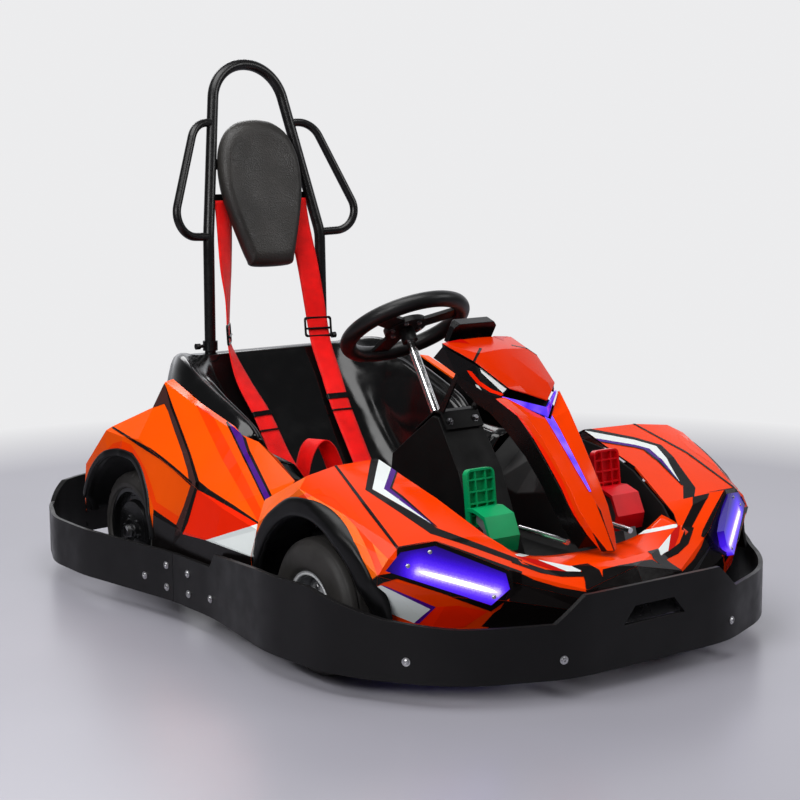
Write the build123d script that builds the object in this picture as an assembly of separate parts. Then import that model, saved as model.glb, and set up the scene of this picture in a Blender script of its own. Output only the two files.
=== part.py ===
from build123d import *
import os
from math import cos, hypot, radians, sin

# Electric go-kart. Millimetres, +X to the driver's left, front towards -Y, floor at Z = 0.

# Wheels
FRONT_AXLE_Y = -397.0
REAR_AXLE_Y = 370.0
WHEEL_R = 127.0
FRONT_TYRE_X = 428.0
FRONT_TYRE_W = 108.0
REAR_TYRE_X = 396.0
REAR_TYRE_W = 80.0
FRONT_RIM_R = 64.0
REAR_RIM_R = 88.0
SPINDLE_R = 8.5
RUNNING_GAP = 0.05

# Steering
KINGPIN_X = 318.0
KINGPIN_R = 6.0
STEER_ARM = 100.0
PITMAN_ARM = 40.0
TIE_ROD_Z = 106.0
COLUMN_LEAN = 32.24
WHEEL_HUB = (0.0, -47.0, 575.0)
COLUMN_R = 9.5
COLUMN_LENGTH = 512.0
GRIP_R = 17.0
STEERING_R = 142.0

# Frame tubes
RAIL_X = 250.0
RAIL_Z = 72.0
RAIL_R = 15.0
RAIL_REAR_Y = 560.0
RAIL_FRONT_Y = -560.0
ARM_R = 11.0

# Bumper band
BAND_LOW = 38.0
BAND_T = 9.0
BAND_SPLIT_Y = 84.0

# Roll hoop: upright legs, which lean back and inwards above the bend
HOOP_R = 12.7
HOOP_FOOT = (157.0, 492.0, 92.0)
HOOP_BEND = (151.0, 494.0, 744.0)
HOOP_TOP_Z = 1132.0
HOOP_SLOPE = 0.209
HOOP_TAPER = 0.184
HANDLE_R = 9.5
CLAMP_Z = 497.0

SKIN_T = 4.0
STRAP_W = 50.0
STRAP_T = 2.6


# Shared shapes


def polyhedron(points, triangles):
    faces = [Face(Wire.make_polygon([points[i] for i in tri], close=True)) for tri in triangles]
    solid = Solid(Shell(faces))
    if solid.volume < 0:
        solid = Solid(Shell([-face for face in faces]))
    return solid


def minus(a, b):
    return (a[0] - b[0], a[1] - b[1], a[2] - b[2])


def cross(a, b):
    return (a[1] * b[2] - a[2] * b[1], a[2] * b[0] - a[0] * b[2], a[0] * b[1] - a[1] * b[0])


def unit(a):
    size = hypot(*a)
    return (a[0] / size, a[1] / size, a[2] / size)


def skin(rows, thickness):
    """A moulded panel: its outer face runs through the rows of points, its inner face is set back."""
    n_row = len(rows)
    n_col = len(rows[0])
    outer = [tuple(float(c) for c in point) for row in rows for point in row]

    def at(i, j):
        return i * n_col + j

    tris = []
    for i in range(n_row - 1):
        for j in range(n_col - 1):
            a, b, c, d = at(i, j), at(i + 1, j), at(i + 1, j + 1), at(i, j + 1)
            diag_ac = hypot(*minus(outer[a], outer[c]))
            diag_bd = hypot(*minus(outer[b], outer[d]))
            pair = [(a, b, c), (a, c, d)] if diag_ac <= diag_bd else [(a, b, d), (b, c, d)]
            tris += pair
    normals = [[0.0, 0.0, 0.0] for _ in outer]
    for a, b, c in tris:
        n = cross(minus(outer[b], outer[a]), minus(outer[c], outer[a]))
        if hypot(*n) < 1e-9:
            continue
        n = unit(n)
        for k in (a, b, c):
            for axis in range(3):
                normals[k][axis] += n[axis]
    inner = []
    for point, normal in zip(outer, normals):
        n = unit(normal)
        inner.append(tuple(point[k] - n[k] * thickness for k in range(3)))
    total = len(outer)
    all_tris = list(tris) + [(c + total, b + total, a + total) for a, b, c in tris]
    rim = [at(i, 0) for i in range(n_row)]
    rim += [at(n_row - 1, j) for j in range(1, n_col)]
    rim += [at(i, n_col - 1) for i in range(n_row - 2, -1, -1)]
    rim += [at(0, j) for j in range(n_col - 2, 0, -1)]
    for a, b in zip(rim, rim[1:] + rim[:1]):
        all_tris += [(a, a + total, b + total), (a, b + total, b)]
    return polyhedron(outer + inner, all_tris)


def other_side(shape):
    return shape.mirror(Plane.YZ)


def rod(start, end, radius):
    a = Vector(*start)
    b = Vector(*end)
    plane = Plane(origin=a, z_dir=b - a)
    return extrude(plane * Circle(radius), (b - a).length)


def tube_path(points, bends, radius):
    """A bent tube along the points, with one bend radius for all corners or one for each."""
    path = FilletPolyline(*points, radius=bends)
    profile = Plane(origin=path @ 0, z_dir=path % 0) * Circle(radius)
    return sweep(profile, path=path)


def slab(x0, x1, y0, y1, z0, z1):
    return Pos((x0 + x1) / 2, (y0 + y1) / 2, (z0 + z1) / 2) * Box(x1 - x0, y1 - y0, z1 - z0)


def along_x(radius, x0, x1, y, z):
    return rod((x0, y, z), (x1, y, z), radius)


def save(node, shape):
    export_step(shape, os.path.join("parts", node + ".step"))


def hoop_y(z):
    if z < HOOP_BEND[2]:
        share = (HOOP_BEND[2] - z) / (HOOP_BEND[2] - HOOP_FOOT[2])
        return HOOP_BEND[1] + share * (HOOP_FOOT[1] - HOOP_BEND[1])
    return HOOP_BEND[1] + HOOP_SLOPE * (z - HOOP_BEND[2])


def hoop_x(z):
    if z < HOOP_BEND[2]:
        share = (HOOP_BEND[2] - z) / (HOOP_BEND[2] - HOOP_FOOT[2])
        return HOOP_BEND[0] + share * (HOOP_FOOT[0] - HOOP_BEND[0])
    return HOOP_BEND[0] - HOOP_TAPER * (z - HOOP_BEND[2])


# Bumper: a plastic band on edge, in a front and a rear half


def band_plan():
    # Corner points of the outside of the band (x, y) and the radius that rounds each
    corners = [
        (0, -795, 0),
        (190, -795, 260),
        (395, -712, 300),
        (514, -520, 300),
        (532, -330, 350),
        (490, -70, 500),
        (490, 90, 500),
        (536, 400, 400),
        (534, 545, 200),
        (468, 710, 200),
        (330, 795, 200),
        (0, 795, 0),
    ]
    right = [(x, y) for x, y, _ in corners]
    left = [(-x, y) for x, y, _ in reversed(corners[1:-1])]
    radii = {(x, y): r for x, y, r in corners}
    radii.update({(-x, y): r for x, y, r in corners})
    loop = make_face(Polyline(*right, *left, close=True))
    for vertex in loop.vertices():
        radius = radii.get((round(vertex.X), round(vertex.Y)), 0)
        if radius:
            loop = fillet(loop.vertices().sort_by_distance((vertex.X, vertex.Y, 0))[0], radius)
    return loop


def inside_band():
    """The space that the band encloses."""
    plan = Pos(0, 0, BAND_LOW) * band_plan()
    return extrude(offset(plan, -BAND_T, kind=Kind.INTERSECTION), 160)


def bumper_band():
    band = extrude(Pos(0, 0, BAND_LOW) * band_plan(), 160) - inside_band()

    # Height of the top edge along the sides (y, z)
    side_top = [(900, 178), (742, 178), (690, 141), (-62, 139), (-84, 168), (-300, 186), (-450, 186),
                (-600, 148), (-700, 138), (-735, 138), (-735, 300), (900, 300)]
    trim = Plane.YZ * make_face(Polyline(*side_top, close=True))
    band -= extrude(trim, 600, both=True)

    # Height of the top edge across the front (x, z)
    front_top = [(-600, 138), (-222, 138), (-165, 184), (165, 184), (222, 138), (600, 138),
                 (600, 300), (-600, 300)]
    trim = Plane.XZ * make_face(Polyline(*front_top, close=True))
    band -= extrude(trim, 200).moved(Location((0, -735, 0)))

    slot = [(-76, 114), (76, 114), (48, 146), (-48, 146)]
    hole = Plane.XZ * make_face(Polyline(*slot, close=True))
    band -= extrude(hole, 60).moved(Location((0, -760, 0)))
    return band


def bumpers():
    band = bumper_band()
    front = band & slab(-700, 700, -900, BAND_SPLIT_Y - 0.5, 0, 400)
    rear = band & slab(-700, 700, BAND_SPLIT_Y + 0.5, 900, 0, 400)
    save("bumper_front", front)
    save("bumper_rear", rear)


def bumper_mounts(frame):
    """Splice plates behind the side seams, and the arms that carry the band."""
    side_plate = slab(472, 500, 10, 160, 50, 128) - slab(460, 475, 0, 170, 40, 140)
    side = side_plate + rod((RAIL_X, BAND_SPLIT_Y, RAIL_Z), (478, BAND_SPLIT_Y, RAIL_Z), ARM_R)
    front = rod((197, RAIL_FRONT_Y, RAIL_Z), (197, -774, RAIL_Z), ARM_R)
    front += slab(167, 227, -800, -772, 52, 92)
    rear = rod((190, RAIL_REAR_Y, RAIL_Z), (190, 782, RAIL_Z), ARM_R)
    rear += slab(160, 220, 780, 800, 52, 92)
    pieces = []
    for arm in (side, front, rear):
        arm = (arm & inside_band()) - frame
        pieces += [arm, other_side(arm)]
    save("bumper_mounts", Compound(pieces))
    return Compound(pieces)


def body_brackets(mounts, pod, cowl):
    """Flat uprights that carry the body panels from the bumper's arms."""
    y = BAND_SPLIT_Y
    foot_z = RAIL_Z + ARM_R - 4
    pod_stay = slab(420, 500, y - 12, y + 12, foot_z, foot_z + 8)
    pod_stay += slab(440, 500, y - 12, y + 12, 170, 174)
    pod_stay += slab(440, 444, y - 12, y + 12, foot_z, 174)
    pod_stay = (pod_stay - mounts - pod).solids().sort_by(Axis.X)[0]
    cowl_stay = slab(190, 204, -700, -672, foot_z, 300) - mounts - cowl
    cowl_stay = cowl_stay.solids().sort_by(Axis.Z)[0]
    pieces = [pod_stay, other_side(pod_stay), cowl_stay, other_side(cowl_stay)]
    save("body_brackets", Compound(pieces))


# Frame


def chassis_frame():
    corner = 60.0
    half = [(0, RAIL_FRONT_Y, RAIL_Z), (RAIL_X, RAIL_FRONT_Y, RAIL_Z), (RAIL_X, RAIL_REAR_Y, RAIL_Z),
            (0, RAIL_REAR_Y, RAIL_Z)]
    right = tube_path(half, corner, RAIL_R)
    frame = right + other_side(right)
    for y in (-130, 150, 322, HOOP_FOOT[1]):
        frame += along_x(RAIL_R - 2, -RAIL_X, RAIL_X, y, RAIL_Z)
    for side in (1, -1):
        part = kingpin_yoke() + dropout() + hoop_socket()
        frame += part if side > 0 else other_side(part)
    frame += column_foot()
    save("chassis_frame", frame)
    return frame


def kingpin_yoke():
    """A C-shaped bracket on the rail, with the kingpin through its two ears."""
    y = FRONT_AXLE_Y
    ear_low, ear_high, ear_t, half_w = 96.0, 158.0, 6.0, 20.0
    web_x = 284.0
    yoke = slab(web_x, web_x + 6, y - half_w, y + half_w, RAIL_Z - 10, ear_high)
    for z in (ear_low, ear_high - ear_t):
        ear = slab(web_x, KINGPIN_X, y - half_w, y + half_w, z, z + ear_t)
        ear += Pos(KINGPIN_X, y, z + ear_t / 2) * Cylinder(half_w, ear_t)
        yoke += ear
    yoke += Pos(KINGPIN_X, y, (ear_low + ear_high) / 2) * Cylinder(KINGPIN_R, ear_high - ear_low + 14)
    yoke += slab(RAIL_X + 8, web_x + 3, y - half_w, y + half_w, RAIL_Z - 8, RAIL_Z + 8)
    return yoke


def dropout():
    """The plate that holds a rear hub axle, standing on the rail."""
    y = REAR_AXLE_Y
    profile = [(y - 75, RAIL_Z - 8), (y + 75, RAIL_Z - 8), (y + 26, 150), (y - 26, 150)]
    face = Plane.YZ.offset(332) * make_face(Polyline(*profile, close=True))
    plate = extrude(face, 8)
    plate += slab(RAIL_X + 8, 334, y - 70, y - 50, RAIL_Z - 8, RAIL_Z + 8)
    plate += slab(RAIL_X + 8, 334, y + 50, y + 70, RAIL_Z - 8, RAIL_Z + 8)
    return plate - along_x(SPINDLE_R, 300, 360, y, WHEEL_R)


def hoop_leg(low, high, radius):
    """A stretch of the hoop's left leg between two heights."""
    return rod((hoop_x(low), hoop_y(low), low), (hoop_x(high), hoop_y(high), high), radius)


def hoop_socket():
    return hoop_leg(RAIL_Z, 150, 17) - hoop_leg(HOOP_FOOT[2] - 2, 200, HOOP_R)


def column_point(down, side=0.0, up=0.0):
    """A point measured down the steering column from the wheel's hub."""
    lean = radians(COLUMN_LEAN)
    x, y, z = WHEEL_HUB
    return (x + side, y - down * sin(lean) - up * cos(lean), z - down * cos(lean) + up * sin(lean))


def column_foot():
    """Cross tube with the lower bearing of the column."""
    y, z = column_point(470)[1:]
    foot = along_x(RAIL_R - 2, -RAIL_X, RAIL_X, y - 62, RAIL_Z)
    ring = rod(column_point(480), column_point(458), 17)
    ring -= rod(column_point(490), column_point(450), COLUMN_R + RUNNING_GAP)
    profile = [(y - 74, RAIL_Z), (y - 52, RAIL_Z), (y - 40, 148), (y - 14, z), (y - 24, z + 12),
               (y - 54, 160)]
    arm = extrude(Plane.YZ * make_face(Polyline(*profile, close=True)), 6, both=True)
    arm -= rod(column_point(530), column_point(430), COLUMN_R + 3)
    pitman_room = rod(column_point(530), column_point(488), 22)
    return foot + ring + (arm - pitman_room)


def roll_hoop():
    top_y = hoop_y(HOOP_TOP_Z)
    points = [HOOP_FOOT, HOOP_BEND, (hoop_x(HOOP_TOP_Z), top_y, HOOP_TOP_Z), (0, top_y, HOOP_TOP_Z)]
    half = tube_path(points, [120, 94], HOOP_R) + hoop_handle()
    hoop = half + other_side(half)
    for z in (826, 905):
        hoop += slab(-hoop_x(z), hoop_x(z), hoop_y(z) + 12, hoop_y(z) + 16, z - 12, z + 12)
    save("roll_hoop", hoop)


def hoop_handle():
    """The grip beside the hoop: out of the leg, down and forwards, and level back to the bend."""
    x, y, z = HOOP_BEND
    points = [(hoop_x(998) - 2, hoop_y(998), 998), (157, 533, 1002), (264, 465, 750), (x - 2, y, z)]
    return tube_path(points, [56, 50], HANDLE_R)


def hoop_clamps():
    """A clamp with a knob round each leg of the hoop, just above the seat."""
    x, y = hoop_x(CLAMP_Z), hoop_y(CLAMP_Z)
    collar = hoop_leg(CLAMP_Z - 11, CLAMP_Z + 11, 17) - hoop_leg(CLAMP_Z - 30, CLAMP_Z + 30, HOOP_R)
    collar += along_x(4, x + 15, x + 30, y, CLAMP_Z)
    collar += along_x(7, x + 28, x + 38, y, CLAMP_Z)
    save("hoop_clamps", Compound([collar, other_side(collar)]))


def headrest():
    # Outline of the pad up the hoop's plane: height z, half width
    outline = [(672, 50), (700, 64), (845, 102), (900, 100), (955, 88), (988, 62), (1000, 36)]
    middle_z = 836.0
    plane = Plane(origin=(0, hoop_y(middle_z), middle_z), x_dir=(1, 0, 0), z_dir=(0, -1, HOOP_SLOPE))
    right = [(w, z - middle_z) for z, w in outline]
    left = [(-w, z) for w, z in reversed(right)]
    face = fillet(make_face(Polyline(*right, *left, close=True)).vertices(), 12)
    front = extrude(plane.offset(-4) * face, 24)
    crown = loft([plane.offset(20) * face, plane.offset(31) * offset(face, -14)])
    save("headrest_pad", front + crown)


def battery_box():
    case = slab(-134, 134, 462, 540, RAIL_Z + RAIL_R + 1, 290)
    save("battery_box", chamfer(case.edges().filter_by(Axis.Z), 8))


def floor_pan():
    pan = slab(-RAIL_X, RAIL_X, RAIL_FRONT_Y + 10, 110, RAIL_Z - RAIL_R - 3, RAIL_Z - RAIL_R)
    save("floor_pan", fillet(pan.edges().filter_by(Axis.Z), 30))


# Seat and cockpit mouldings: sections across the kart at each y


def both_halves(half, y):
    """A row across the kart from its left half, given as (x, z) from the outside to the middle."""
    return [(x, y, z) for x, z in half] + [(-x, y, z) for x, z in reversed(half)]


def seat_shell():
    """The moulded seat: rear hem and ledge, reclined back, wings with a raised lip, and the pan."""
    # Sections from rear to front: hem, crease, ledge, lip, wall, foot of the wall and pan (x, z)
    stations = [
        (516, [(256, 392), (244, 436), (196, 440), (170, 440), (150, 440), (110, 440), (60, 440)]),
        (512, [(262, 400), (240, 474), (200, 477), (172, 477), (150, 477), (110, 477), (60, 477)]),
        (470, [(292, 382), (256, 480), (200, 481), (177, 480), (152, 480), (110, 480), (60, 480)]),
        (452, [(300, 380), (264, 484), (216, 481), (188, 474), (162, 466), (112, 459), (60, 458)]),
        (414, [(318, 380), (280, 486), (240, 474), (208, 461), (184, 430), (146, 409), (60, 405)]),
        (360, [(330, 390), (290, 472), (264, 460), (238, 449), (206, 400), (166, 350), (60, 342)]),
        (313, [(331, 396), (292, 452), (272, 446), (252, 441), (212, 370), (178, 294), (60, 280)]),
        (250, [(330, 380), (291, 430), (272, 420), (256, 412), (216, 320), (186, 228), (60, 212)]),
        (188, [(330, 368), (290, 408), (272, 396), (256, 387), (220, 296), (200, 190), (60, 178)]),
        (130, [(330, 348), (288, 385), (272, 373), (258, 364), (222, 280), (206, 184), (60, 170)]),
        (98, [(326, 328), (286, 360), (272, 350), (260, 341), (224, 262), (208, 182), (60, 169)]),
        (84, [(322, 322), (296, 334), (280, 330), (264, 324), (225, 256), (209, 182), (60, 169)]),
        (-30, [(312, 318), (298, 322), (280, 316), (264, 308), (226, 250), (210, 188), (60, 178)]),
    ]
    shell = skin([both_halves(half, y) for y, half in stations], -SKIN_T)
    hole = hoop_leg(300, 600, HOOP_R + 3)
    save("seat_shell", shell - hole - other_side(hole))


def cockpit_tub():
    """The foot tray with the console that rises from it between the driver's legs."""
    # Stations: y, rim half width and height, wall half width, console half width and height, floor height
    stations = [
        (-36, 300, 318, 214, 60, 178, 178),
        (-70, 300, 300, 216, 60, 160, 158),
        (-78, 300, 296, 216, 58, 320, 155),
        (-150, 288, 292, 218, 55, 372, 128),
        (-207, 275, 316, 219, 51, 413, 126),
        (-224, 270, 322, 220, 50, 411, 124),
        (-298, 258, 350, 222, 55, 309, 122),
        (-378, 252, 340, 224, 58, 124, 122),
        (-480, 243, 308, 222, 66, 122, 122),
        (-585, 222, 258, 212, 60, 122, 122),
        (-640, 196, 230, 186, 50, 150, 150),
    ]
    rows = []
    for y, rim_w, rim_z, wall, mid_w, mid_z, floor in stations:
        half = [(rim_w, rim_z), (wall, (rim_z + floor) / 2), (wall - 8, floor + 12), (wall - 24, floor),
                (mid_w + 14, floor), (mid_w, mid_z)]
        rows.append(both_halves(half, y))
    tub = skin(rows, -SKIN_T)
    save("cockpit_tub", tub - rod(column_point(120), column_point(530), COLUMN_R + 4))


# Orange body panels


def pod_rows():
    # Sections from rear to front, each from the seat outwards and down:
    # inner edge, ridge, crease, low edge, hem (x, y, z)
    return [
        [(438, 532, 250), (444, 533, 255), (455, 532, 252), (458, 537, 190), (456, 538, 110)],
        [(432, 426, 349), (441, 429, 348), (455, 430, 341), (466, 424, 200), (464, 424, 110)],
        [(346, 368, 396), (362, 372, 393), (446, 372, 334), (470, 362, 205), (468, 362, 110)],
        [(334, 345, 452), (356, 341, 448), (436, 320, 335), (474, 300, 210), (472, 300, 110)],
        [(334, 225, 413), (354, 222, 414), (446, 190, 306), (474, 180, 196), (472, 180, 110)],
        [(330, 96, 380), (352, 94, 384), (454, 61, 279), (474, 70, 184), (472, 70, 110)],
        [(322, 64, 352), (356, 40, 376), (458, 10, 268), (475, 10, 185), (473, 10, 110)],
        [(322, -46, 336), (362, -46, 371), (464, -70, 255), (477, -60, 187), (475, -60, 110)],
        [(320, -100, 304), (352, -160, 309), (460, -192, 232), (481, -203, 187), (479, -203, 110)],
    ]


def side_pods():
    pod = skin(pod_rows(), SKIN_T) - along_x(168, 380, 600, REAR_AXLE_Y, WHEEL_R)
    save("side_pod_left", pod)
    save("side_pod_right", other_side(pod))
    return pod


def cowl_rows():
    # Sections round the front from the fender's rear edge to the middle, each from the
    # cockpit ridge outwards and down: ridge, top, shoulder, side, hem (x, y, z)
    return [
        [(300, -128, 285), (352, -172, 312), (450, -206, 292), (482, -232, 257), (484, -212, 150)],
        [(263, -310, 365), (380, -340, 369), (456, -360, 362), (484, -379, 345), (486, -379, 150)],
        [(250, -479, 314), (405, -470, 322), (457, -480, 312), (481, -490, 285), (484, -490, 150)],
        [(225, -590, 262), (420, -590, 266), (442, -592, 250), (461, -587, 222), (450, -562, 140)],
        [(214, -625, 248), (360, -618, 275), (358, -641, 232), (358, -660, 184), (375, -625, 122)],
        [(200, -650, 231), (250, -683, 219), (250, -694, 200), (272, -703, 172), (292, -676, 115)],
        [(110, -690, 206), (115, -742, 174), (115, -752, 155), (115, -756, 135), (115, -745, 100)],
        [(0, -712, 208), (0, -745, 200), (0, -762, 172), (0, -766, 140), (0, -750, 100)],
    ]


def front_cowl():
    rows = cowl_rows()
    whole = rows + [[(-x, y, z) for x, y, z in row] for row in reversed(rows[:-1])]
    cowl = skin(whole, SKIN_T)
    for side in (1, -1):
        arch = along_x(172, side * 400, side * 600, FRONT_AXLE_Y, WHEEL_R)
        cowl -= arch
    for side in (1, -1):
        light = headlight_prism(8, 24)
        cowl -= light if side > 0 else other_side(light)
    save("front_cowl", cowl)
    return cowl


def headlight_prism(inset, depth):
    # Corners of the bezel on the front face (x, y, z)
    plane = Plane(origin=(350, -648, 215), x_dir=(-110, -65, -56), z_dir=(0.50, -0.82, 0.27))
    corners = [(420, -590, 266), (360, -618, 275), (250, -683, 219), (250, -699, 185), (300, -703, 159),
               (460, -585, 226)]
    flat = []
    for corner in corners:
        local = plane.to_local_coords(Vector(*corner))
        flat.append((local.X, local.Y))
    face = make_face(Polyline(*flat, close=True))
    face = offset(face, -inset)
    return extrude(plane.offset(-depth / 2) * face, depth)


def headlights():
    light = headlight_prism(8.4, 14)
    save("headlight_left", light)
    save("headlight_right", other_side(light))


def arch_lips():
    """Black lips that cover the panels round the four wheel arches."""
    pieces = []
    # Panel rows, axle y, inner and outer radius, how far the lip stands proud, nearest x
    for rows, y, r0, r1, proud, x0 in ((cowl_rows()[:5], FRONT_AXLE_Y, 172, 206, 5, 440),
                                       (pod_rows(), REAR_AXLE_Y, 168, 178, 3, 400)):
        ring = along_x(r1, x0, 560, y, WHEEL_R) - along_x(r0, x0 - 1, 561, y, WHEEL_R)
        lip = (skin(rows, -proud) & ring) - slab(0, 600, -700, 700, 0, 142)
        pieces += [lip, other_side(lip)]
    save("arch_lips", Compound(pieces))


# Steering fairing between the driver's knees


def blade_stations():
    """Down the fairing's blade: its left edge, the bevel inside it and the ridge (x, y, z)."""
    table = [
        ((80, -441, 478), (0, -507, 437)),
        ((62, -486, 448), (0, -528, 414)),
        ((54, -522, 410), (0, -562, 378)),
        ((49, -553, 372), (0, -590, 348)),
        ((44, -590, 325), (0, -620, 316)),
        ((42, -617, 285), (0, -648, 286)),
        ((30, -645, 245), (0, -672, 244)),
        ((14, -668, 214), (0, -688, 218)),
    ]
    bevel_x, bevel_y, bevel_z = 0.86, -14, 4
    return [(edge, (edge[0] * bevel_x, edge[1] + bevel_y, edge[2] + bevel_z), ridge) for edge, ridge in table]


def steering_fairing():
    """The blade: two long facets that meet in a ridge, with a bevel along each edge."""
    rows = []
    for edge, bevel, ridge in blade_stations():
        rows.append([(-x, y, z) for x, y, z in (edge, bevel)] + [ridge, bevel, edge])
    save("steering_fairing", skin(rows, SKIN_T))


def fairing_hood():
    """The hood over the steering, and the cheeks that close its sides."""
    # Rows from the rear edge to the point above the blade: left edge, shoulder, middle (x, y, z)
    table = [
        [(88, -285, 570), (45, -288, 574), (0, -289, 575)],
        [(79, -377, 542), (62, -366, 556), (0, -368, 560)],
        [(59, -452, 499), (34, -461, 501), (0, -466, 497)],
        [(57, -455, 497), (29, -478, 487), (0, -499, 475)],
    ]
    rows = [[(-x, y, z) for x, y, z in half[:-1]] + list(reversed(half)) for half in table]
    save("fairing_hood", skin(rows, 3))
    top = [(84, -288, 564), (80, -330, 550), (74, -377, 535), (55, -450, 493)]
    low = [(82, -255, 538), (80, -326, 512), (76, -404, 487), (66, -438, 477)]
    cheek = skin([top, low], 3)
    save("fairing_cheeks", Compound([cheek, other_side(cheek)]))


def fairing_lights():
    """The lit strip: two wings under the hood and a stem down the blade's ridge."""
    wings = skin([[(-68, -447, 482), (0, -498, 461), (68, -447, 482)],
                  [(-67, -449, 479), (0, -502, 443), (67, -449, 479)]], 5)
    stem = []
    lift = 2.0
    for (_, bevel, ridge), half_w in zip(blade_stations(), (9, 8, 6, 5, 2)):
        share = half_w / bevel[0]
        y, z = [ridge[k] + (bevel[k] - ridge[k]) * share for k in (1, 2)]
        side = (half_w, y - lift, z + lift)
        stem.append([(-side[0], *side[1:]), (0, ridge[1] - lift, ridge[2] + lift), side])
    save("fairing_lights", Compound([wings, skin(stem, 1)]))


def fairing_spine():
    """The black beam behind the blade, which carries it from the tray to the hood."""
    # Sections: rear y and z, front y and z, half width
    stations = [
        (-282, 489, -304, 546, 50),
        (-345, 454, -398, 510, 50),
        (-386, 441, -436, 471, 50),
        (-435, 413, -480, 443, 50),
        (-494, 370, -516, 405, 50),
        (-533, 324, -547, 367, 45),
        (-560, 283, -584, 320, 40),
        (-588, 246, -611, 280, 37),
        (-618, 212, -639, 240, 26),
    ]
    sections = []
    for rear_y, rear_z, front_y, front_z, half_w in stations:
        corners = [(half_w, rear_y, rear_z), (half_w, front_y, front_z), (-half_w, front_y, front_z),
                   (-half_w, rear_y, rear_z)]
        sections.append(make_face(Polyline(*corners, close=True)))
    spine = loft(sections, ruled=True)
    save("fairing_spine", spine)
    return spine


def display_box(spine):
    """The driver's display, tilted back, on an arm that stands on the spine."""
    profile = [(-262, 564), (-287, 604), (-264, 612), (-239, 572)]
    box = extrude(Plane.YZ * make_face(Polyline(*profile, close=True)), 54, both=True)
    top_ends = box.edges().sort_by(Axis.Z)[-6:].filter_by(lambda edge: abs(edge.center().X) > 50)
    box = chamfer(top_ends, 10)
    arm = Plane.YZ * make_face(Polyline((-258, 568), (-272, 568), (-300, 522), (-286, 506), close=True))
    box += extrude(arm, 16, both=True) - spine
    save("display_box", box)


def column_mount(spine):
    """Upper bearing plate on the console, and the struts from it to the fairing."""
    profile = [(-247, 387), (-225, 418), (-207, 419), (-142, 373), (-142, 378), (-206, 423.5), (-228, 422.5),
               (-251, 389.5)]
    plate = extrude(Plane.YZ * make_face(Polyline(*profile, close=True)), 47, both=True)
    plate -= rod(column_point(120), column_point(270), COLUMN_R + 2)
    save("column_plate", plate)
    bar = Plane.YZ * make_face(Polyline((-212, 416), (-232, 420), (-300, 530), (-286, 524), close=True))
    bar = extrude(bar, 4).moved(Location((40, 0, 0))) - plate - spine
    bar = bar.solids().sort_by(SortBy.VOLUME)[-1]
    save("fairing_struts", Compound([bar, other_side(bar)]))


# Steering gear


def steering():
    wheel_plane = Plane(origin=WHEEL_HUB, x_dir=(1, 0, 0), z_dir=minus(column_point(0), column_point(1)))
    rim = Torus(STEERING_R - GRIP_R, GRIP_R)
    reach = STEERING_R - GRIP_R
    spokes = Cylinder(46, 12)
    for turn in (90, 210, 330):
        spokes += Rot(0, 0, turn) * (Pos(reach / 2, 0, 0) * Box(reach, 42, 7))
    wheel = wheel_plane.location * (rim + spokes)
    boss = rod(column_point(7), column_point(34), 17)
    save("steering_wheel", wheel + boss)
    column = rod(column_point(34.0), column_point(COLUMN_LENGTH), COLUMN_R)
    arm_from = column_point(COLUMN_LENGTH - 10)
    arm_plane = Plane(origin=arm_from, x_dir=(1, 0, 0), z_dir=minus(column_point(0), column_point(1)))
    tip = PITMAN_ARM + 8
    arm = arm_plane.location * extrude(make_face(Polyline((-14, -9), (14, -9), (26, tip), (-26, tip),
                                                          close=True)), 6)
    save("steering_column", column + arm)


def knuckle():
    y = FRONT_AXLE_Y
    z = WHEEL_R
    body = Pos(KINGPIN_X, y, z) * Cylinder(15, 48)
    body += along_x(SPINDLE_R + 4, KINGPIN_X, 366, y, z)
    body += along_x(SPINDLE_R, 360, 476, y, z)
    body += along_x(13, 474, 482, y, z)
    arm = make_face(Polyline((KINGPIN_X - 9, y), (KINGPIN_X + 9, y), (KINGPIN_X + 7, y + STEER_ARM + 8),
                             (KINGPIN_X - 9, y + STEER_ARM + 8), close=True))
    body += Pos(0, 0, z - 12) * extrude(arm, 8)
    body -= Pos(KINGPIN_X, y, z) * Cylinder(KINGPIN_R + RUNNING_GAP, 80)
    return body


def knuckles():
    left = knuckle()
    save("knuckle_left", left)
    save("knuckle_right", other_side(left))


def tie_rods():
    y = FRONT_AXLE_Y + STEER_ARM
    left = rod((24, y + 4, TIE_ROD_Z), (KINGPIN_X - 12, y, TIE_ROD_Z), 6)
    eye = Pos(KINGPIN_X - 2, y, TIE_ROD_Z) * Cylinder(11, 16)
    left += eye
    save("tie_rod_left", left)
    save("tie_rod_right", other_side(left))


# Wheels


def tyre(rim_r, width, crown):
    half = width / 2
    profile = [
        (rim_r, -half + 8), (rim_r + 8, -half + 1), (WHEEL_R - 32, -half), (WHEEL_R - 14, -half + 5),
        (WHEEL_R - 4, -half + crown), (WHEEL_R, -half + crown + 12),
        (WHEEL_R, half - crown - 12), (WHEEL_R - 4, half - crown), (WHEEL_R - 14, half - 5),
        (WHEEL_R - 32, half), (rim_r + 8, half - 1), (rim_r, half - 8),
    ]
    face = Plane.XZ * make_face(Polyline(*profile, close=True))
    return revolve(face, Axis.Z)


def front_rim():
    # Section of the pressed rim: radius and place across the wheel
    half = FRONT_TYRE_W / 2 - 9
    rim = FRONT_RIM_R
    bore = SPINDLE_R + RUNNING_GAP
    outer = [(rim, -half), (rim, half), (rim + 6, half + 1), (rim + 6, half + 4), (rim - 3, half + 4),
             (rim - 4, 12), (22, 20), (18, 32), (bore, 32), (bore, -34), (18, -34), (22, 8), (rim - 4, 4),
             (rim - 3, -half - 4), (rim + 6, -half - 4), (rim + 6, -half - 1)]
    face = Plane.XZ * make_face(Polyline(*outer, close=True))
    return revolve(face, Axis.Z)


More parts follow.
